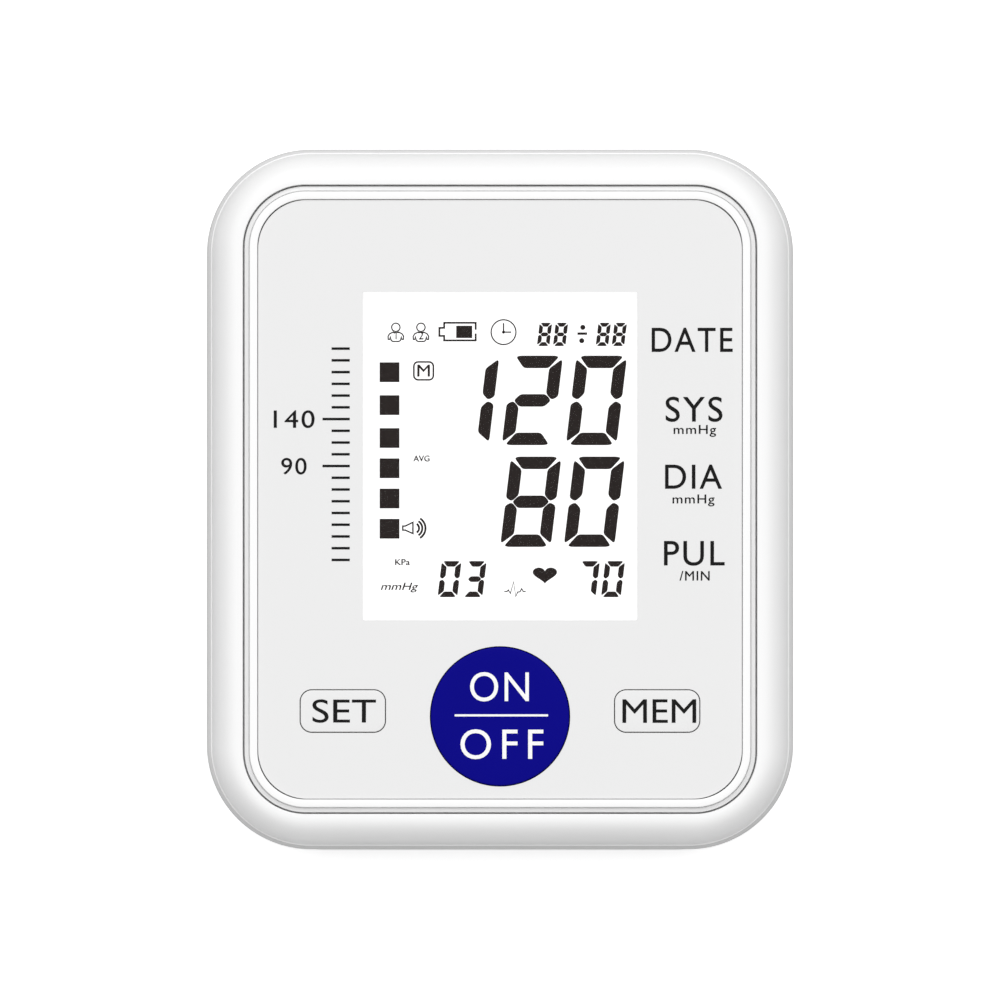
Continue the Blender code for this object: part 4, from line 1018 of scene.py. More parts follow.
def buildKeyPrint():
    keyTop = min(faceBox("set_button")[1].z, capTop)
    for name, left, right in (("set", -35.1, -23.2), ("mem", 22.9, 36.7)):
        word = joined(words([(name.upper(), left, right, -37.4, -41.8)], keyTop))
        addPiece(name + "Word", word, "blackInk", body=name + "_key")
    powerTop = capTop
    powerWords = words([("ON", -5.6, 5.4, -32.3, -37.8)], powerTop, spacing=1.1)
    powerWords += words([("OFF", -7.4, 8.1, -43.0, -48.6)], powerTop, spacing=1.3)
    bar = shifted(roundedOutline(17.5 * mm, 0.4 * mm, 0.1 * mm, 2), (0.25 * mm, -40.4 * mm))
    powerWords.append(inkPlate("divider", [bar], powerTop))
    addPiece("powerWords", joined(powerWords), "whiteInk", body="power_key")


buildKeyPrint()


# Display symbols

glassTop = faceBox("lcd_glass")[1].z
litSegments = {
    "0": "abcdef",
    "1": "bc",
    "2": "abged",
    "3": "abgcd",
    "7": "abc",
    "8": "abcdefg",
}


def segmentOutlines(character, left, bottom, width, height, thick, slit, slant=0.12):
    # the lit bars of a seven-bar figure; width is that of the upright figure before it leans
    middle = height / 2
    half = thick / 2
    nick = 0.28 * thick  # rounds the outer corners
    bars = {
        "a": [
            (slit + nick, height - nick * 0.35),
            (nick * 2.2, height),
            (width - nick * 2.2, height),
            (width - slit - nick, height - nick * 0.35),
            (width - thick - slit, height - thick),
            (thick + slit, height - thick),
        ],
        "g": [
            (half + slit, middle),
            (thick + slit * 0.6, middle + half),
            (width - thick - slit * 0.6, middle + half),
            (width - half - slit, middle),
            (width - thick - slit * 0.6, middle - half),
            (thick + slit * 0.6, middle - half),
        ],
        "b": [
            (width - nick * 0.35, height - nick - slit),
            (width, height - nick * 1.6 - slit),
            (width, middle + half * 0.55 + slit),
            (width - half, middle + slit),
            (width - thick, middle + half + slit),
            (width - thick, height - thick - slit),
        ],
    }
    bars["d"] = [(x, height - y) for x, y in bars["a"]]
    bars["c"] = [(x, height - y) for x, y in reversed(bars["b"])]
    bars["f"] = [(width - x, y) for x, y in bars["b"]]
    bars["e"] = [(width - x, y) for x, y in bars["c"]]
    outlines = []
    for bar in litSegments[character]:
        corners = [Vector((left + x + slant * y, bottom + y)) for x, y in bars[bar]]
        outlines.append(softened(corners, 0.22 * thick))
    return outlines


def softened(corners, reach):
    # rounds each corner between two points this far from it
    points = []
    for i, corner in enumerate(corners):
        before, after = corners[i - 1], corners[(i + 1) % len(corners)]
        start = corner + (before - corner) * min(reach / (before - corner).length, 0.45)
        end = corner + (after - corner) * min(reach / (after - corner).length, 0.45)
        for step in range(4):
            share = step / 3
            points.append(start.lerp(corner, share).lerp(corner.lerp(end, share), share))
    return points


# Figures: text, left, bottom, width, height, bar thickness, slit, pitch in millimetres
figureRows = (
    ("1", -11.6, 10.15, 9.5, 16.75, 2.34, 0.08, 12.0),
    ("20", 0.3, 10.15, 9.5, 16.75, 2.34, 0.08, 12.0),
    ("80", 0.0, -8.9, 9.5, 16.9, 2.34, 0.08, 11.9),
    ("03", -11.7, -18.3, 3.7, 6.75, 1.05, 0.06, 4.7),
    ("70", 14.2, -18.3, 3.7, 6.75, 1.05, 0.06, 4.7),
    ("88", 6.9, 28.7, 2.35, 4.35, 0.74, 0.05, 3.0),
    ("88", 17.9, 28.7, 2.35, 4.35, 0.74, 0.05, 3.0),
)


def buildFigures():
    plates = []
    for text, left, bottom, width, height, thick, slit, pitch in figureRows:
        for number, character in enumerate(text):
            start = (left + pitch * number) * mm
            sizes = [value * mm for value in (bottom, width, height, thick, slit)]
            for outline in segmentOutlines(character, start, *sizes):
                plates.append(inkPlate("bar", [outline], glassTop))
    addPiece("displayFigures", joined(plates), "displayInk")


buildFigures()


def strip(points, width, closed=False):
    # outline of a pen stroke of this width along points, with mitred corners
    points = [Vector(point) for point in points]
    count = len(points)
    left, right = [], []
    for i, point in enumerate(points):
        before = points[i - 1] if i or closed else point
        after = points[(i + 1) % count] if i < count - 1 or closed else point
        first = (point - before).normalized() if point != before else (after - point).normalized()
        second = (after - point).normalized() if after != point else first
        bisector = (first + second).normalized()
        normal = Vector((-bisector.y, bisector.x))
        reach = width / 2 / max(normal.dot(Vector((-first.y, first.x))), 0.5)
        left.append(point + normal * reach)
        right.append(point - normal * reach)
    if closed:
        return [left, right]
    return [left + right[::-1]]


def arc(centre, radius, start, end, steps=24):
    points = []
    for step in range(steps + 1):
        angle = math.radians(start + (end - start) * step / steps)
        points.append((centre[0] + radius * math.cos(angle), centre[1] + radius * math.sin(angle)))
    return points


def stroke(points, width, closed=False):
    scaled = [(x * mm, y * mm) for x, y in points]
    return inkPlate("stroke", strip(scaled, width * mm, closed), glassTop)


def filled(points):
    outline = [Vector((x * mm, y * mm)) for x, y in points]
    return inkPlate("filled", [outline], glassTop)


def userSymbol(left):
    # outline of head and shoulders; the number on its chest is drawn apart
    centre = left + 1.5
    neck = arc((centre, 32.2), 0.78, -62, 242)
    right = [(centre + 0.62, 31.25), (centre + 1.15, 31.0), (centre + 1.45, 30.55), (centre + 1.42, 29.95)]
    inner = [(centre + 1.12, 29.95), (centre + 1.02, 30.45), (centre + 0.86, 29.75), (centre + 0.55, 29.55)]
    half = right + inner
    mirrored = [(2 * centre - x, y) for x, y in half]
    return stroke(neck[::-1] + mirrored + half[::-1], 0.23, True)


def heartOutline(centre, width, height):
    points = []
    for step in range(48):
        angle = 2 * math.pi * step / 48
        x = 16 * math.sin(angle) ** 3
        y = 13 * math.cos(angle) - 5 * math.cos(2 * angle) - 2 * math.cos(3 * angle) - math.cos(4 * angle)
        points.append((centre[0] + x * width / 32, centre[1] + (y + 2.5) * height / 29))
    return points


levelSquares = {
    "Count": 6,
    "Side": 3.7 * mm,
    "Wide pitch": 6.16 * mm,
    "Narrow pitch": 5.66 * mm,  # below the third square
    "Height": ink["thickness"],
}
levelTop = Vector((-20.68 * mm, 23.8 * mm))


def levelTree():
    # a column of squares that shows how high the reading is
    tree, inputs = newTree("levelSquares", levelSquares)
    column = rowNode(tree, inputs["Count"], vectorNode(tree))
    index = outOf(tree, "GeometryNodeInputIndex")
    wide = numberNode(tree, "MULTIPLY", numberNode(tree, "MINIMUM", index, 2.0), inputs["Wide pitch"])
    beyond = numberNode(tree, "MAXIMUM", numberNode(tree, "SUBTRACT", index, 2.0), 0.0)
    narrow = numberNode(tree, "MULTIPLY", beyond, inputs["Narrow pitch"])
    fall = vectorNode(tree, y=numberNode(tree, "MULTIPLY", numberNode(tree, "ADD", wide, narrow), -1.0))
    column = outOf(tree, "GeometryNodeSetPosition", {"Geometry": column, "Offset": fall})
    square = boxNode(tree, inputs["Side"], inputs["Side"], inputs["Height"])
    endTree(tree, onPoints(tree, column, square), inputs)
    return tree


def buildSymbols():
    batteryWalls = [(-4.55, 31.75), (-4.55, 33.05), (-10.45, 33.05), (-10.45, 32.1), (-11.35, 32.1)]
    batteryWalls += [(-11.35, 30.6), (-10.45, 30.6), (-10.45, 29.75), (-4.55, 29.75), (-4.55, 31.05)]
    clock = (0.66, 31.3)
    box = roundedOutline(3.65, 3.35, 0.8, 6)
    speaker = [(-18.2, -5.0), (-17.75, -5.0), (-16.3, -4.3), (-16.3, -6.4), (-17.75, -5.75), (-18.2, -5.75)]
    wave = [(0.8, -17.25), (1.3, -17.25), (1.55, -16.95), (1.95, -17.6), (2.55, -15.4), (2.95, -18.2)]
    wave += [(3.3, -17.35), (3.75, -17.3), (4.05, -16.7), (4.35, -17.25), (4.8, -17.25)]
    plates = [
        userSymbol(-21.0),
        userSymbol(-16.3),
        stroke([(-19.85, 31.05), (-19.45, 31.4), (-19.45, 29.95)], 0.2),
        stroke(batteryWalls, 0.34),
        filled([(-8.2, 30.2), (-5.2, 30.2), (-5.2, 32.5), (-8.2, 32.5)]),
        stroke(arc(clock, 2.32, 0, 352.5, 47), 0.24, True),
        stroke([(0.66, 33.0), clock, (2.1, 31.3)], 0.25),
        filled(arc(clock, 0.28, 0, 345, 23)),
        filled(arc((15.5, 32.2), 0.47, 0, 345, 23)),
        filled(arc((15.3, 29.7), 0.47, 0, 345, 23)),
        filled([(14.5, 30.8), (16.3, 30.8), (16.3, 31.25), (14.5, 31.25)]),
        stroke([(point.x - 14.3, point.y + 24.05) for point in box], 0.3, True),
        stroke(speaker, 0.27, True),
        *[stroke(arc((-16.1, -5.4), radius, -58, 58), 0.38) for radius in (0.95, 1.55, 2.15)],
        filled(heartOutline((8.4, -14.3), 4.55, 3.07)),
        stroke(wave, 0.19),
    ]
    displayWords = (
        ("2", -15.2, -14.35, 31.4, 29.95),
        ("M", -15.45, -13.15, 25.2, 23.0),
        ("AVG", -16.2, -13.2, 8.2, 7.1),
        ("KPa", -19.6, -16.9, -11.2, -12.3),
    )
    plates += words(displayWords, glassTop, pen=0.035 * mm)
    plates += words([("mmHg", -22.3, -15.3, -15.6, -17.4)], glassTop, pen=0.03 * mm, slant=0.25)
    addPiece("displaySymbols", joined(plates), "displayInk")
    place = facePlace @ Matrix.Translation((*levelTop, glassTop + ink["lift"] + ink["thickness"] / 2))
    mesh = grow("levelSquares", levelTree(), levelSquares, "displayInk", place)
    addPiece("levelSquares", mesh, "displayInk")


buildSymbols()
print("print and display symbols built")


# Bottom cover: rounded rim under the bezel, drafted walls, battery bay, wells and grille

base = {
    "rimRadius": 19.7 * mm,
    # rounding of the rim: how far in and how far down, in millimetres
    "shoulder": (
        *((0.22, 1.2), (0.15, 0.85), (0.17, 0.68), (0.27, 0.45)),
        *((0.44, 0.18), (0.55, 0.04), (0.62, 0)),
    ),
    "sideSwell": 0.12 * mm,
    "underRadius": 17.0 * mm,
    "underEdge": 1.6 * mm,
    "sideDraft": 4.5 * mm,
    "frontDraft": 2.85 * mm,
    "rearDraft": 5.75 * mm,
    "wall": 2.2 * mm,
    "lipInset": 3.1 * mm,
    "lipWidth": 1.2 * mm,
    "lipHeight": 1.2 * mm,
    "lipRoot": 3.0 * mm,
    "bayWall": 1.3 * mm,
    "steps": 10,
}
baseLow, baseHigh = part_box("bottom_cover")
rimStep = (baseHigh.x - baseLow.x - coverWidth) / 2
rimLength = coverLength + 2 * rimStep
rimCentre = facePlace @ Vector((0, 0, seamHeight))
underFront = base["frontDraft"] - rimLength / 2 * math.cos(tilt)
underRear = rimLength / 2 * math.cos(tilt) - base["rearDraft"]
floorTop = baseLow.z + base["wall"]
underWidth = baseHigh.x - baseLow.x - 2 * base["sideDraft"]


def rimRing(inset, height):
    width = coverWidth + 2 * (rimStep - inset + base["sideSwell"])
    outline = roundedOutline(width, rimLength - 2 * inset, base["rimRadius"] - inset, 28)
    return [facePlace @ point for point in raised(outline, seamHeight + height)]


def underRing(inset, height):
    length = underRear - underFront - 2 * inset
    outline = roundedOutline(underWidth - 2 * inset, length, base["underRadius"] - inset, 28)
    return raised(shifted(outline, (0, (underFront + underRear) / 2)), baseLow.z + height)


def between(first, second, share):
    return [low.lerp(high, share) for low, high in zip(first, second)]


def partingHeight(y):
    return rimCentre.z + (y - rimCentre.y) * math.tan(tilt)


def wallAt(y, z):
    # how far out the side wall is
    low = baseLow.z + base["underEdge"]
    share = (z - low) / (partingHeight(y) - low)
    return underWidth / 2 + base["sideDraft"] * share


doorLow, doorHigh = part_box("battery_cover")
door = {
    "tab": 1.4 * mm,
    "tabRadius": 0.5 * mm,
    "tongue": 2.0 * mm,
    "tongueHalf": 6.0 * mm,
    "tongueThickness": 1.2 * mm,
    "overlap": 2.0 * mm,
    "corner": 0.5 * mm,
    "gripWidth": 22.0 * mm,
    "gripLength": 10.0 * mm,
    "gripDepth": 0.7 * mm,
    "gripMargin": 3.0 * mm,  # from the rear edge
}
doorHalf = doorHigh.x - door["tab"]
doorRear = doorHigh.y - door["tongue"]
pivotY = doorLow.y + door["tabRadius"]
pivotZ = middleOf("battery_cover").z + 0.1 * mm


def bayCuts():
    # the bay's block, the recess of its cover, the room of the cells, pivot pockets and latch notch
    half = doorHalf + gap
    front, rear = doorLow.y - mm, doorRear + gap
    wall = base["bayWall"]
    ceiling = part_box("battery_cell_1")[1].z + gap
    inner = doorHalf - door["overlap"]
    low = (-half - wall, front - wall, baseLow.z + mm)
    steps = [weld(block("bay", low, (half + wall, rear + wall, ceiling + wall)))]
    steps.append(cut(block("recess", (-half, front, -mm), (half, rear, doorHigh.z + gap))))
    low = (-inner, doorLow.y + door["overlap"] + 0.5 * mm, 0)
    steps.append(cut(block("room", low, (inner, doorRear - door["overlap"], ceiling))))
    start = (-doorHigh.x - gap, pivotY, pivotZ)
    pocket = rod("pocket", door["tabRadius"] + gap, start, 2 * (doorHigh.x + gap), alongX, 24)
    steps.append(cut(pocket))
    notch = door["tongueHalf"] + 2 * gap
    high = (notch, doorHigh.y + 2 * gap, baseLow.z + door["tongueThickness"] + gap)
    steps.append(cut(block("notch", (-notch, rear - mm, -mm), high)))
    return steps


def cradles():
    # ribs and posts on the floor under the pump, the valve, the manifold, the speaker and the port board
    seat = floorTop - mm
    steps = []

    def rib(name, middle, halfX, halfY, top):
        low = (middle.x - halfX, middle.y - halfY, seat)
        steps.append(weld(block(name, low, (middle.x + halfX, middle.y + halfY, top))))

    pump, sleeve = middleOf("pump_motor"), middleOf("pump_sleeve")
    sleeveLow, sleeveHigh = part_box("pump_sleeve")
    third = (sleeveHigh.x - sleeveLow.x) / 3
    for x in (sleeve.x - third, sleeve.x + third):
        rib("pumpRib", Vector((x, sleeve.y)), 0.8 * mm, 12 * mm, sleeve.z - 6 * mm)
    start = (sleeveLow.x - 4 * mm, sleeve.y, sleeve.z)
    radius = (sleeveHigh.z - sleeveLow.z) / 2 + gap
    hollow = rod("pumpHollow", radius, start, sleeveHigh.x - sleeveLow.x + 8 * mm, alongX, 64)
    steps.append(cut(hollow))
    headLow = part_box("pump_head")[0]
    rib("headRib", Vector((2.5 * mm, pump.y)), 3 * mm, 8 * mm, headLow.z - gap)
    lineY, lineZ = middleOf("air_socket").y, middleOf("air_socket").z
    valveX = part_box("valve_body")[1].x - 9 * mm
    rib("valveRib", Vector((valveX, lineY)), 1.5 * mm, 5.5 * mm, lineZ - 3.25 * mm)
    start = (valveX - 9 * mm, lineY, lineZ)
    steps.append(cut(rod("valveHollow", 6.8 * mm, start, 18 * mm, alongX, 48)))
    rib("manifoldPost", Vector((2 * mm, lineY)), 3 * mm, 3 * mm, lineZ - 4 * mm - gap)
    speaker = middleOf("speaker")
    speakerLow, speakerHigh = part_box("speaker")
    collar = (speakerHigh.x - speakerLow.x) / 2 + gap
    rings = [shifted(circleOutline(radius), speaker.xy) for radius in (collar + mm, collar)]
    steps.append(weld(plate("speakerCollar", rings, seat, floorTop + 2.25 * mm)))
    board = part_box("port_board")[0]
    port = middleOf("usb_port")
    for y in (port.y - 3.5 * mm, port.y + 3.5 * mm):
        post = rod("portPost", 1.6 * mm, (board.x + 3 * mm, y, seat), board.z - gap - seat, steps=24)
        steps.append(weld(post))
    return steps


grille = {
    "Rows": 5,
    "Columns": 7,
    "Pitch": 3.6 * mm,
    "Hole": 0.9 * mm,
    "Reach": 8.5 * mm,
    "Depth": 5.0 * mm,
}


def grilleTree():
    # pins on a triangular pitch, kept where they fall inside the reach
    tree, inputs = newTree("grillePins", grille)
    pitch = inputs["Pitch"]
    backX = numberNode(tree, "MULTIPLY", pitch, -3.0)
    backY = numberNode(tree, "MULTIPLY", pitch, -2.0 * math.sin(math.radians(60)))
    rows = rowNode(tree, inputs["Rows"], vectorNode(tree, y=numberNode(tree, "MULTIPLY", pitch, 0.8660254)))
    index = outOf(tree, "GeometryNodeInputIndex")
    odd = numberNode(tree, "MODULO", index, 2.0)
    half = numberNode(tree, "MULTIPLY", pitch, 0.5)
    slide = vectorNode(tree, numberNode(tree, "MULTIPLY", odd, half))
    rows = outOf(tree, "GeometryNodeSetPosition", {"Geometry": rows, "Offset": slide})
    row = rowNode(tree, inputs["Columns"], vectorNode(tree, pitch))
    whole = outOf(tree, "GeometryNodeRealizeInstances", {0: onPoints(tree, rows, row)})
    whole = moveNode(tree, whole, backX, backY)
    place = outOf(tree, "GeometryNodeInputPosition")
    length = addNode(tree, "ShaderNodeVectorMath", {0: place}, operation="LENGTH").outputs["Value"]
    far = numberNode(tree, "GREATER_THAN", length, inputs["Reach"])
    kept = outOf(tree, "GeometryNodeDeleteGeometry", {"Geometry": whole, "Selection": far})
    sizes = {"Vertices": 24, "Radius": inputs["Hole"], "Depth": inputs["Depth"]}
    pin = addNode(tree, "GeometryNodeMeshCylinder", sizes).outputs["Mesh"]
    endTree(tree, onPoints(tree, kept, pin), inputs)
    return tree


def buildBottomCover():
    edge = base["underEdge"]
    wall = base["wall"]
    rings = []
    for step in range(base["steps"] + 1):
        angle = math.radians(90) * step / base["steps"]
        rings.append(underRing(edge * (1 - math.sin(angle)), edge * (1 - math.cos(angle))))
    corner = rings[-1]
    shoulder = [rimRing(inset * mm, -gap - drop * mm) for inset, drop in base["shoulder"]]
    rings += [between(corner, shoulder[0], share) for share in (0.03, 0.5, 0.97)] + shoulder
    lip = base["lipInset"]
    rings += [
        rimRing(lip, -gap),
        rimRing(lip, base["lipHeight"]),
        rimRing(lip + base["lipWidth"], base["lipHeight"]),
        rimRing(lip + base["lipWidth"], -base["lipRoot"]),
        rimRing(wall, -2 * base["lipRoot"]),
        underRing(wall, wall + edge),
        underRing(wall + edge, wall),
    ]
    mesh = loft("bottomCover", rings)
    steps = bayCuts() + cradles()
    for screwName, footName in zip(numbered("case_screw"), numbered("foot")):
        x, y = middleOf(screwName).xy
        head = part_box(screwName)[0].z + 2 * mm + gap
        rise = partingHeight(y) - 2 * mm - floorTop + mm
        steps.append(weld(rod("lowerBoss", bosses["radius"], (x, y, floorTop - mm), rise)))
        steps.append(cut(rod("well", bosses["well"], (x, y, -mm), head + mm, steps=64)))
        steps.append(cut(rod("screwHole", bosses["screwHole"], (x, y, 0), 48 * mm)))
        x, y = middleOf(footName).xy
        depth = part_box(footName)[1].z + gap
        steps.append(cut(rod("pocket", bosses["footPocket"], (x, y, -mm), depth + mm, steps=64)))
    line = middleOf("air_socket")
    socketHole = rod("socketHole", bosses["socketHole"], (-110 * mm, line.y, line.z), 77 * mm, alongX, 96)
    steps.append(cut(socketHole))
    steps.append(cut(loft("portHole", [portRing(gap, 44 * mm), portRing(gap, 110 * mm)])))
    speaker = middleOf("speaker")
    place = Matrix.Translation((speaker.x, speaker.y, floorTop - 0.5 * mm))
    steps.append(cut(grow("grillePins", grilleTree(), grille, "whiteBase", place)))
    # the base's darker plastic is painted shade for the rim band
    addPiece("bottomCover", carve(mesh, steps), "whiteBase", ["bottom_cover"])


# Supply port: rolled metal shell, and the contact tongue inside it

port = {
    "shell": 0.4 * mm,
    "roll": 0.14 * mm,
    "tongueHalf": 3.0 * mm,
    "tongueThickness": 0.7 * mm,
    "tongueSetBack": 1.5 * mm,
}
portLow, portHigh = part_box("usb_port")


def portRing(spread, x):
    width = portHigh.y - portLow.y + 2 * spread
    height = portHigh.z - portLow.z + 2 * spread
    outline = roundedOutline(width, height, height / 2 - 0.1 * mm, 10)
    middle = (portLow + portHigh) / 2
    return [Vector((x, middle.y + point.x, middle.z + point.y)) for point in outline]


contacts = {
    "Count": 12,
    "Pitch": 0.46 * mm,
    "Width": 0.24 * mm,
    "Length": 4.2 * mm,
    "Thickness": 0.05 * mm,
    "Spacing": 0.72 * mm,  # between the rows on both faces of the tongue
}


def contactTree():
    tree, inputs = newTree("portContacts", contacts)
    row = rowNode(tree, inputs["Count"], vectorNode(tree, y=inputs["Pitch"]))
    strip = boxNode(tree, inputs["Length"], inputs["Width"], inputs["Thickness"])
    faces = rowNode(tree, 2, vectorNode(tree, z=inputs["Spacing"]))
    rows = outOf(tree, "GeometryNodeRealizeInstances", {0: onPoints(tree, faces, row)})
    endTree(tree, onPoints(tree, rows, strip), inputs)
    return tree


def buildPort():
    start, mouth = portLow.x, portHigh.x
    roll = port["roll"]
    shell = port["shell"]
    outside = [(-roll, start), (0, start + roll), (0, mouth - roll), (-roll * 0.3, mouth - roll * 0.3)]
    inside = [(-roll, mouth), (roll - shell, mouth), (-shell, mouth - roll), (-shell, start + mm)]
    mesh = loft("portShell", [portRing(*place) for place in outside + inside])
    addPiece("portShell", mesh, "nickel", ["usb_port"])
    middle = (portLow + portHigh) / 2
    half = port["tongueThickness"] / 2
    low = (start + 0.9 * mm, middle.y - port["tongueHalf"], middle.z - half)
    high = (mouth - port["tongueSetBack"], middle.y + port["tongueHalf"], middle.z + half)
    tongue = block("tongue", low, high)
    addPiece("portTongue", tongue, "switchBlack", bevel=0.12 * mm)
    x = mouth - port["tongueSetBack"] - 0.5 * mm - contacts["Length"] / 2
    y = middle.y - contacts["Pitch"] * (contacts["Count"] - 1) / 2
    place = Matrix.Translation((x, y, middle.z - contacts["Spacing"] / 2))
    mesh = grow("portContacts", contactTree(), contacts, "nickel", place)
    addPiece("portContacts", mesh, "nickel")


buildBottomCover()
buildPort()
print("bottom cover and port built")


# Battery cover: plate with rounded edges, thumb recess, ribs and a plain arrow

grip = {
    "Count": 5,
    "Pitch": 1.7 * mm,
    "Width": 18.0 * mm,
    "Radius": 0.4 * mm,
}


def gripTree():
    # rounded ribs in a row
    tree, inputs = newTree("gripRibs", grip)
    row = rowNode(tree, inputs["Count"], vectorNode(tree, y=inputs["Pitch"]))
    sizes = {"Vertices": 20, "Radius": inputs["Radius"], "Depth": inputs["Width"]}
    rib = addNode(tree, "GeometryNodeMeshCylinder", sizes).outputs["Mesh"]
    turn = vectorNode(tree, y=math.radians(90))
    lying = outOf(tree, "GeometryNodeTransform", {0: rib, "Rotation": turn})
    endTree(tree, onPoints(tree, row, lying), inputs)
    return tree


def buildDoor():
    front, rear = doorLow.y, doorRear
    outline = roundedOutline(2 * doorHalf, rear - front, door["corner"], 5)
    outline = shifted(outline, (0, (front + rear) / 2))
    mesh = plate("batteryDoor", [outline], doorLow.z, doorHigh.z)
    tabs = rod("tabs", door["tabRadius"], (-doorHigh.x, pivotY, pivotZ), 2 * doorHigh.x, alongX, 24)
    low = (-door["tongueHalf"], rear - mm, doorLow.z)
    tongue = block("tongue", low, (door["tongueHalf"], doorHigh.y, doorLow.z + door["tongueThickness"]))
    centre = rear - door["gripMargin"] - door["gripLength"] / 2
    recess = shifted(roundedOutline(door["gripWidth"], door["gripLength"], 3.5 * mm, 12), (0, centre))
    recess = plate("thumbRecess", [recess], doorLow.z - mm, doorLow.z + door["gripDepth"])
    tip = centre - door["gripLength"] / 2 - 1.6 * mm
    arrow = [Vector((-3 * mm, tip - 4 * mm)), Vector((3 * mm, tip - 4 * mm)), Vector((0, tip))]
    arrow = plate("arrow", [arrow], doorLow.z - mm, doorLow.z + 0.3 * mm)
    steps = [weld(tabs), weld(tongue), cut(recess), cut(arrow)]
    mesh = carve(mesh, steps)
    replaced = ["battery_cover"]
    addPiece("batteryDoor", mesh, "whiteBase", replaced, 0.15 * mm, "battery_door")
    y = centre - grip["Pitch"] * (grip["Count"] - 1) / 2
    place = Matrix.Translation((0, y, doorLow.z + door["gripDepth"]))
    mesh = grow("gripRibs", gripTree(), grip, "whiteBase", place)
    addPiece("gripRibs", mesh, "whiteBase", body="battery_door")


buildDoor()


# Feet, case screws and the cuff socket

screw = {"shank": 1.3 * mm, "head": 2.6 * mm, "headHeight": 2.0 * mm, "slot": 0.3 * mm}
socket = {"bore": 4.0 * mm, "depth": 12.0 * mm, "tube": 6.2 * mm, "collar": 8.0 * mm, "nipple": 1.5 * mm}


def scaled(profile):
    return [(radius * mm, height * mm) for radius, height in profile]


def buildFeet():
    feet = []
    profile = [(0, 0.3), (2.0, 0.3), (2.3, 0), (3.1, 0), (3.3, 0.25), (3.5, 0.25), (3.7, 0)]
    profile += [(4.4, 0), (4.8, 0.12), (5, 0.5), (5, 1.9), (4.9, 2.0), (0, 2.0)]
    for name in numbered("foot"):
        feet.append(lathe("foot", scaled(profile), Matrix.Translation((*middleOf(name).xy, 0)), 64))
    addPiece("footPads", joined(feet), "footRubber", numbered("foot"))


def buildCaseScrews():
    made = []
    head, shank = screw["head"], screw["shank"]
    seat = screw["headHeight"]
    for name in numbered("case_screw"):
        low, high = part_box(name)
        middle = (low + high) / 2
        length = high.z - low.z
        profile = [(0, 0), (0.62 * head, 0), (0.82 * head, 0.1 * seat), (0.96 * head, 0.3 * seat)]
        profile += [(head, 0.5 * seat), (head, seat), (shank, seat), (shank, length - 1.2 * mm), (0, length)]
        mesh = lathe("caseScrew", profile, Matrix.Translation((middle.x, middle.y, low.z)), 48)
        steps = []
        for halfX, halfY in ((0.6 * head, screw["slot"]), (screw["slot"], 0.6 * head)):
            corner = Vector((halfX, halfY, 0))
            start = Vector((middle.x, middle.y, low.z - mm)) - corner
            end = Vector((middle.x, middle.y, low.z + 0.9 * mm)) + corner
            steps.append(cut(block("crossSlot", start, end)))
        made.append(carve(mesh, steps))
    addPiece("caseScrews", joined(made), "screwSteel", numbered("case_screw"))


def buildSocket():
    low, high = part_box("air_socket")
    middle = (low + high) / 2
    back = high.x - 5 * mm - low.x
    collar = -wallAt(middle.y, low.z) + base["wall"] + gap - low.x
    bore, tube, nipple = socket["bore"], socket["tube"], socket["nipple"]
    thin = tube - 0.8 * mm
    profile = [(0, socket["depth"]), (bore - 0.5 * mm, socket["depth"]), (bore, socket["depth"] - 0.5 * mm)]
    profile += [(bore, 0.7 * mm), (bore + 0.2 * mm, 0.3 * mm), (bore + 0.7 * mm, 0), (tube - 0.5 * mm, 0)]
    profile += [(tube - 0.15 * mm, 0.15 * mm), (tube, 0.5 * mm), (tube, collar), (socket["collar"], collar)]
    profile += [(socket["collar"], collar + 1.5 * mm), (thin, collar + 1.5 * mm), (thin, back)]
    profile += [(nipple, back), (nipple, back + 1.2 * mm), (nipple - 0.25 * mm, back + 1.4 * mm)]
    profile += [(nipple - 0.25 * mm, back + 3.2 * mm), (nipple, back + 3.4 * mm)]
    profile += [(nipple - 0.5 * mm, back + 5 * mm), (0, back + 5 * mm)]
    place = Matrix.Translation((low.x, middle.y, middle.z)) @ alongX
    mesh = lathe("airSocket", profile, place, 96)
    addPiece("airSocket", mesh, "socketGrey", ["air_socket"])


buildFeet()
buildCaseScrews()
buildSocket()
print("battery cover, feet, screws and socket built")


# Batteries: wrap, coloured band and bare ends, with a conical spring at each flat end

spring = {
    "Turns": 3.2,
    "Base": 4.2 * mm,
    "Tip": 2.6 * mm,
    "Height": 3.7 * mm,
    "Wire": 0.4 * mm,
}


def springTree():
    tree, inputs = newTree("coilSpring", spring)
    sizes = {"Resolution": 40, "Rotations": inputs["Turns"], "Height": inputs["Height"]}
    sizes |= {"Start Radius": inputs["Base"], "End Radius": inputs["Tip"]}
    coil = outOf(tree, "GeometryNodeCurveSpiral", sizes)
    sizes = {"Resolution": 12, "Radius": inputs["Wire"]}
    wire = outOf(tree, "GeometryNodeCurvePrimitiveCircle", sizes)
    sizes = {"Curve": coil, "Profile Curve": wire, "Fill Caps": True}
    endTree(tree, outOf(tree, "GeometryNodeCurveToMesh", sizes), inputs)
    return tree


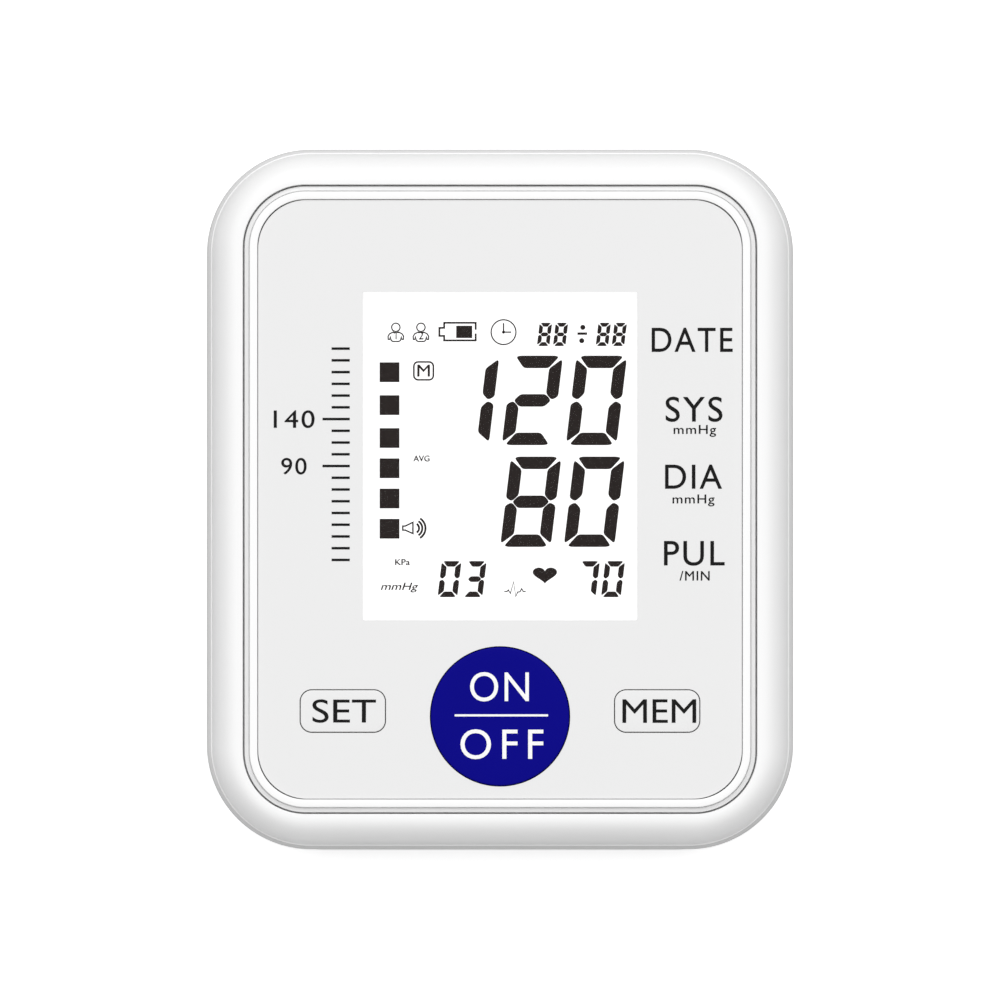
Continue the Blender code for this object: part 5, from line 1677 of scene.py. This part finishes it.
def buildBatteries():
    wraps, bands, ends, coils = [], [], [], []
    wrap = [(0, 0.35), (5.9, 0.35), (6.2, 0.05), (6.7, 0.05), (7, 0.2), (7.1, 0.5), (7.1, 35), (0, 35)]
    band = [(0, 35), (7.1, 35), (7.1, 48), (6.95, 48.4), (6.5, 48.6), (5.2, 48.6), (5, 48.4), (0, 48.4)]
    nub = [(0, 48.3), (4.4, 48.3), (4.4, 48.6), (2.9, 48.7), (2.7, 48.9), (2.7, 49.9), (2.4, 50.2)]
    nub.append((0, 50.2))
    flat = [(0, 0), (5.0, 0), (5.3, 0.1), (5.6, 0.4), (0, 0.4)]
    tree = springTree()
    for number in range(1, 5):
        low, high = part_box("battery_cell_%d" % number)
        middle = (low + high) / 2
        flipped = number % 2 == 0
        turn = alongY.inverted() if flipped else alongY
        end = high.y if flipped else low.y
        place = Matrix.Translation((middle.x, end, middle.z)) @ turn
        wraps.append(lathe("wrap", scaled(wrap), place, 64))
        bands.append(lathe("band", scaled(band), place, 64))
        ends.append(lathe("nub", scaled(nub), place, 48))
        ends.append(lathe("flat", scaled(flat), place, 48))
        low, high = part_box("battery_spring_%d" % number)
        middle = (low + high) / 2
        end = high.y - spring["Wire"] if flipped else low.y + spring["Wire"]
        place = Matrix.Translation((middle.x, end, middle.z)) @ turn
        coils.append(grow("coilSpring", tree, spring, "nickel", place))
    addPiece("cellWraps", joined(wraps), "cellWrap", numbered("battery_cell"))
    addPiece("cellBands", joined(bands), "cellBand")
    addPiece("cellEnds", joined(ends), "nickel")
    addPiece("cellSprings", joined(coils), "nickel", numbered("battery_spring"))


buildBatteries()
print("batteries built")


# Finishes of the frame's own nodes

nodeFinishes = {
    "diffuser": ("lcd_backlight",),
    "connectorRubber": ("zebra_strip",),
    "circuitBoard": ("main_pcb", "port_board"),
    "switchBlack": ("switch", "microcontroller", "valve_body"),
    "amber": ("plunger",),
    "ivory": ("pressure_sensor", "pump_head", "air_manifold"),
    "motorSteel": ("pump_motor",),
    "screwSteel": ("pump_eccentric", "valve_plunger", "screw"),
    "pumpRubber": ("pump_sleeve",),
    "milkySilicone": ("tube",),
    "speakerPaper": ("speaker",),
    "nickel": ("contact",),
}


def finishNodes():
    # of the words found in a node's name, the longest counts
    for name, node in nodes.items():
        if node.hide_render:
            continue
        found = [(len(key), finish) for finish, keys in nodeFinishes.items() for key in keys if key in name]
        node.data.materials.clear()
        node.data.materials.append(finishes[max(found)[1]])


finishNodes()
print("nodes finished")


seenLow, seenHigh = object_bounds()
sizes = {"cad": [list(cadLow), list(cadHigh)], "visual": [list(seenLow), list(seenHigh)]}
